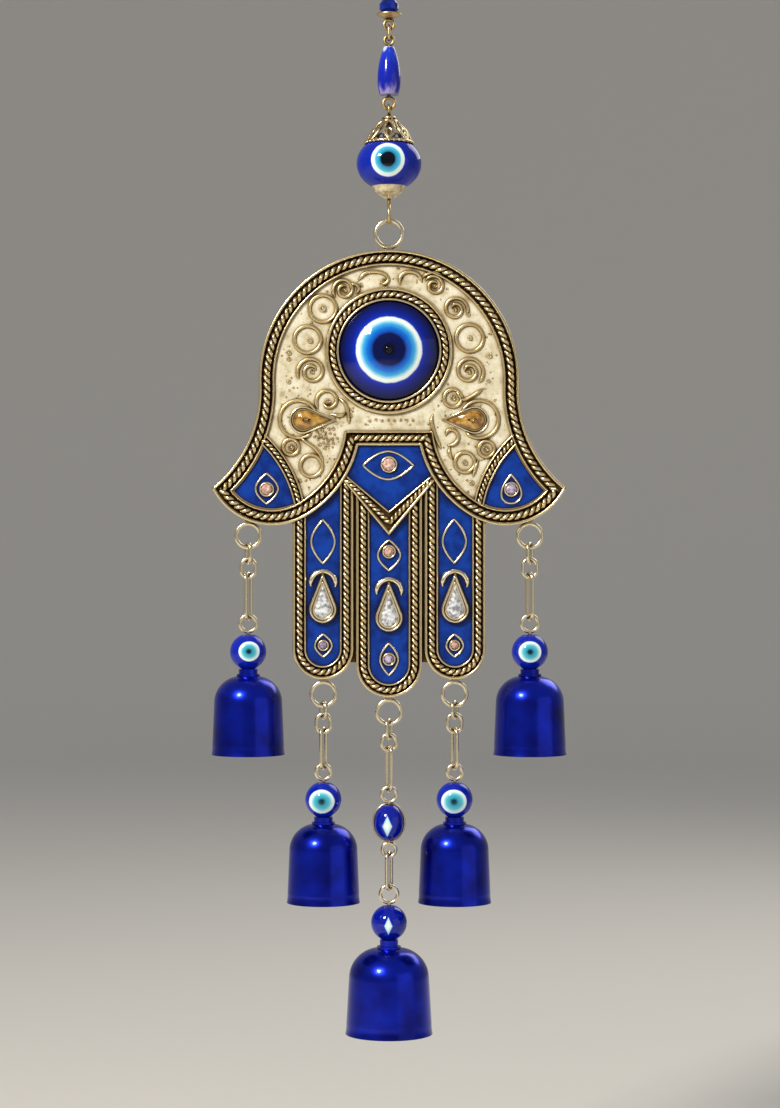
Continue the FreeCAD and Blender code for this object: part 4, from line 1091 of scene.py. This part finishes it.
def makeCrown():
    # filigree cap: teardrop loops side by side with curls inside, between a grained foot and a plain neck
    shell = Shell()
    t = np.arange(40) * turn / 40
    for k in range(crown["petals"]):
        at = k * turn / crown["petals"]
        wide = turn / crown["petals"] * 0.47
        crownWire(shell, at + wide * np.sin(t) * np.abs(np.sin(t / 2)), 0.42 - 0.36 * np.cos(t), True)
        crownWire(shell, at + wide * 0.45 * np.sin(t) * np.abs(np.sin(t / 2)), 0.30 - 0.17 * np.cos(t), True,
            crown["curl"])
        crownWire(shell, at + wide + np.linspace(-0.06, 0.06, 8), np.linspace(0.45, 0.86, 8), False,
            crown["curl"])
    ring = np.arange(64) * turn / 64
    for up, radius in crown["hoops"]:
        crownWire(shell, ring, np.full(len(ring), up), True, radius)
    low, high = box("eye_bead_crown")
    middle = (low + high) / 2
    neck = np.array(crown["neck"])
    outline = np.stack([neck[:, 0] * mm, neck[:, 1] * (high[2] - low[2]) + low[2] - middle[2]], -1)
    lathe(shell, outline, middle, 48)
    # grains round the foot
    grain, foot, size = np.linspace(-math.pi / 2, math.pi / 2,
        6)[1:-1], crown["foot"] * mm, crown["grain"] * mm
    profile = np.stack([size * np.cos(grain), size * np.sin(grain)], -1)
    profile = np.concatenate([profile, [[0.05 * mm, size], [0.05 * mm, -size]]])
    for at in np.arange(crown["grains"]) * turn / crown["grains"]:
        place = np.array([foot * math.sin(at), -foot * math.cos(at), low[2] + 0.2 * mm])
        lathe(shell, profile, middle * [1, 1, 0] + place, 8)
    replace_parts(shell.piece("filigreeCrown", "eye_bead", "antique_brass", crownBrass), "eye_bead_crown")


makeCrown()
print("beads and crown made")

# ---- CAD nodes that stay in view take their slot's material ----

slotMaterial = {
    "antique_brass": brass, "steel_wire": wire, "cream_enamel": cream, "blue_enamel": blue,
        "eye_glass": eyeGlass,
    "bead_glass": cobalt, "bell_lacquer": lacquer, "crystal": crystalGlass, "stone_glass": roseGlass,
        "amber_resin": amber,
}
own = {"long_bead": facetGlintGlass, "eye_bead_cup": clearCup, "upper_bead": cobalt, "hanging_rings": wire}
for part in frame["record"]["subparts"]:
    thing = frame["nodes"][part["node"]]
    thing.data.materials.clear()
    thing.data.materials.append(own.get(part["node"]) or slotMaterial[part["material_slot"]])


# ---- stage, light and camera ----

stage = {"floorDrop": 60.0, "flatRadius": 1.6, "bend": 1.2}
view = {"distance": 0.65, "x": 0.25 * mm, "z": -152.9 * mm, "height": 277.0 * mm, "sensor": 36.0}


def studio():
    # flat round floor, then a quarter circle up: radius = flat + bend * sin(a), height = bend * (1 - cos(a))
    low = cadBox[0][2] - stage["floorDrop"] * mm
    a = np.linspace(0, math.pi / 2, 24)
    radius = np.concatenate([[0.2], stage["flatRadius"] + stage["bend"] * np.sin(a)])
    height = np.concatenate([[0], stage["bend"] * (1 - np.cos(a))])
    sides = 96
    b = np.arange(sides) * turn / sides
    points = np.stack([np.outer(np.cos(b), radius), np.outer(np.sin(b), radius),
        np.outer(np.ones(sides), low + height)], -1)
    faces = gridFaces(sides, len(radius), True, False)
    hub = [[0.0, 0.0, low]]
    inner = np.arange(sides) * len(radius)
    middle = np.stack([np.roll(inner, -1), inner, np.full(sides, sides * len(radius))], -1)
    mesh = bpy.data.meshes.new("studioFloor")
    mesh.from_pydata(points.reshape(-1, 3).tolist() + hub, [], faces.tolist() + middle.tolist())
    mesh.polygons.foreach_set("use_smooth", np.full(len(mesh.polygons), True))
    material, shader = newMaterial("paleStudioPaper")
    shader.inputs["Base Color"].default_value = linear("E4E0D8")
    shader.inputs["Roughness"].default_value = 0.9
    mesh.materials.append(material)
    floor = bpy.data.objects.new("studioFloor", mesh)
    bpy.context.scene.collection.objects.link(floor)


def areaLight(name, place, aim, size, power, colour):
    # square lamp that faces a point
    data = bpy.data.lights.new(name, "AREA")
    data.size, data.energy, data.color = size, power, colour
    lamp = bpy.data.objects.new(name, data)
    lamp.location = place
    lamp.rotation_euler = (Vector(aim) - Vector(place)).to_track_quat("-Z", "Y").to_euler()
    bpy.context.scene.collection.objects.link(lamp)


lamps = {
    "keyLight": ((-0.50, -0.70, 0.42), 0.18, 11.0, (1.0, 0.95, 0.86)),
    "fillLight": ((0.75, -0.65, -0.20), 0.9, 1.1, (0.92, 0.96, 1.0)),
    "rimLight": ((0.45, 0.55, 0.35), 0.5, 2.0, (1.0, 0.98, 0.94)),
}


def lightsAndCamera():
    # one strong lamp up and to the left in front, a wide weak one opposite, one behind, and a pale room
    for name, (place, size, power, colour) in lamps.items():
        areaLight(name, place, (0, 0, view["z"]), size, power, colour)
    world = bpy.data.worlds.new("softRoom")
    bpy.context.scene.world = world
    world.use_nodes = True
    world.node_tree.nodes["Background"].inputs["Color"].default_value = linear("E8ECF4")
    world.node_tree.nodes["Background"].inputs["Strength"].default_value = 0.32
    data = bpy.data.cameras.new("camera")
    data.sensor_width = view["sensor"]
    data.lens = view["sensor"] * view["distance"] / view["height"]
    camera = bpy.data.objects.new("camera", data)
    camera.location = (view["x"], -view["distance"], view["z"])
    camera.rotation_euler = (math.pi / 2, 0, 0)
    bpy.context.scene.collection.objects.link(camera)
    bpy.context.scene.camera = camera
    bpy.context.scene.view_settings.view_transform = "Standard"


studio()
lightsAndCamera()
print("stage, lights and camera made")
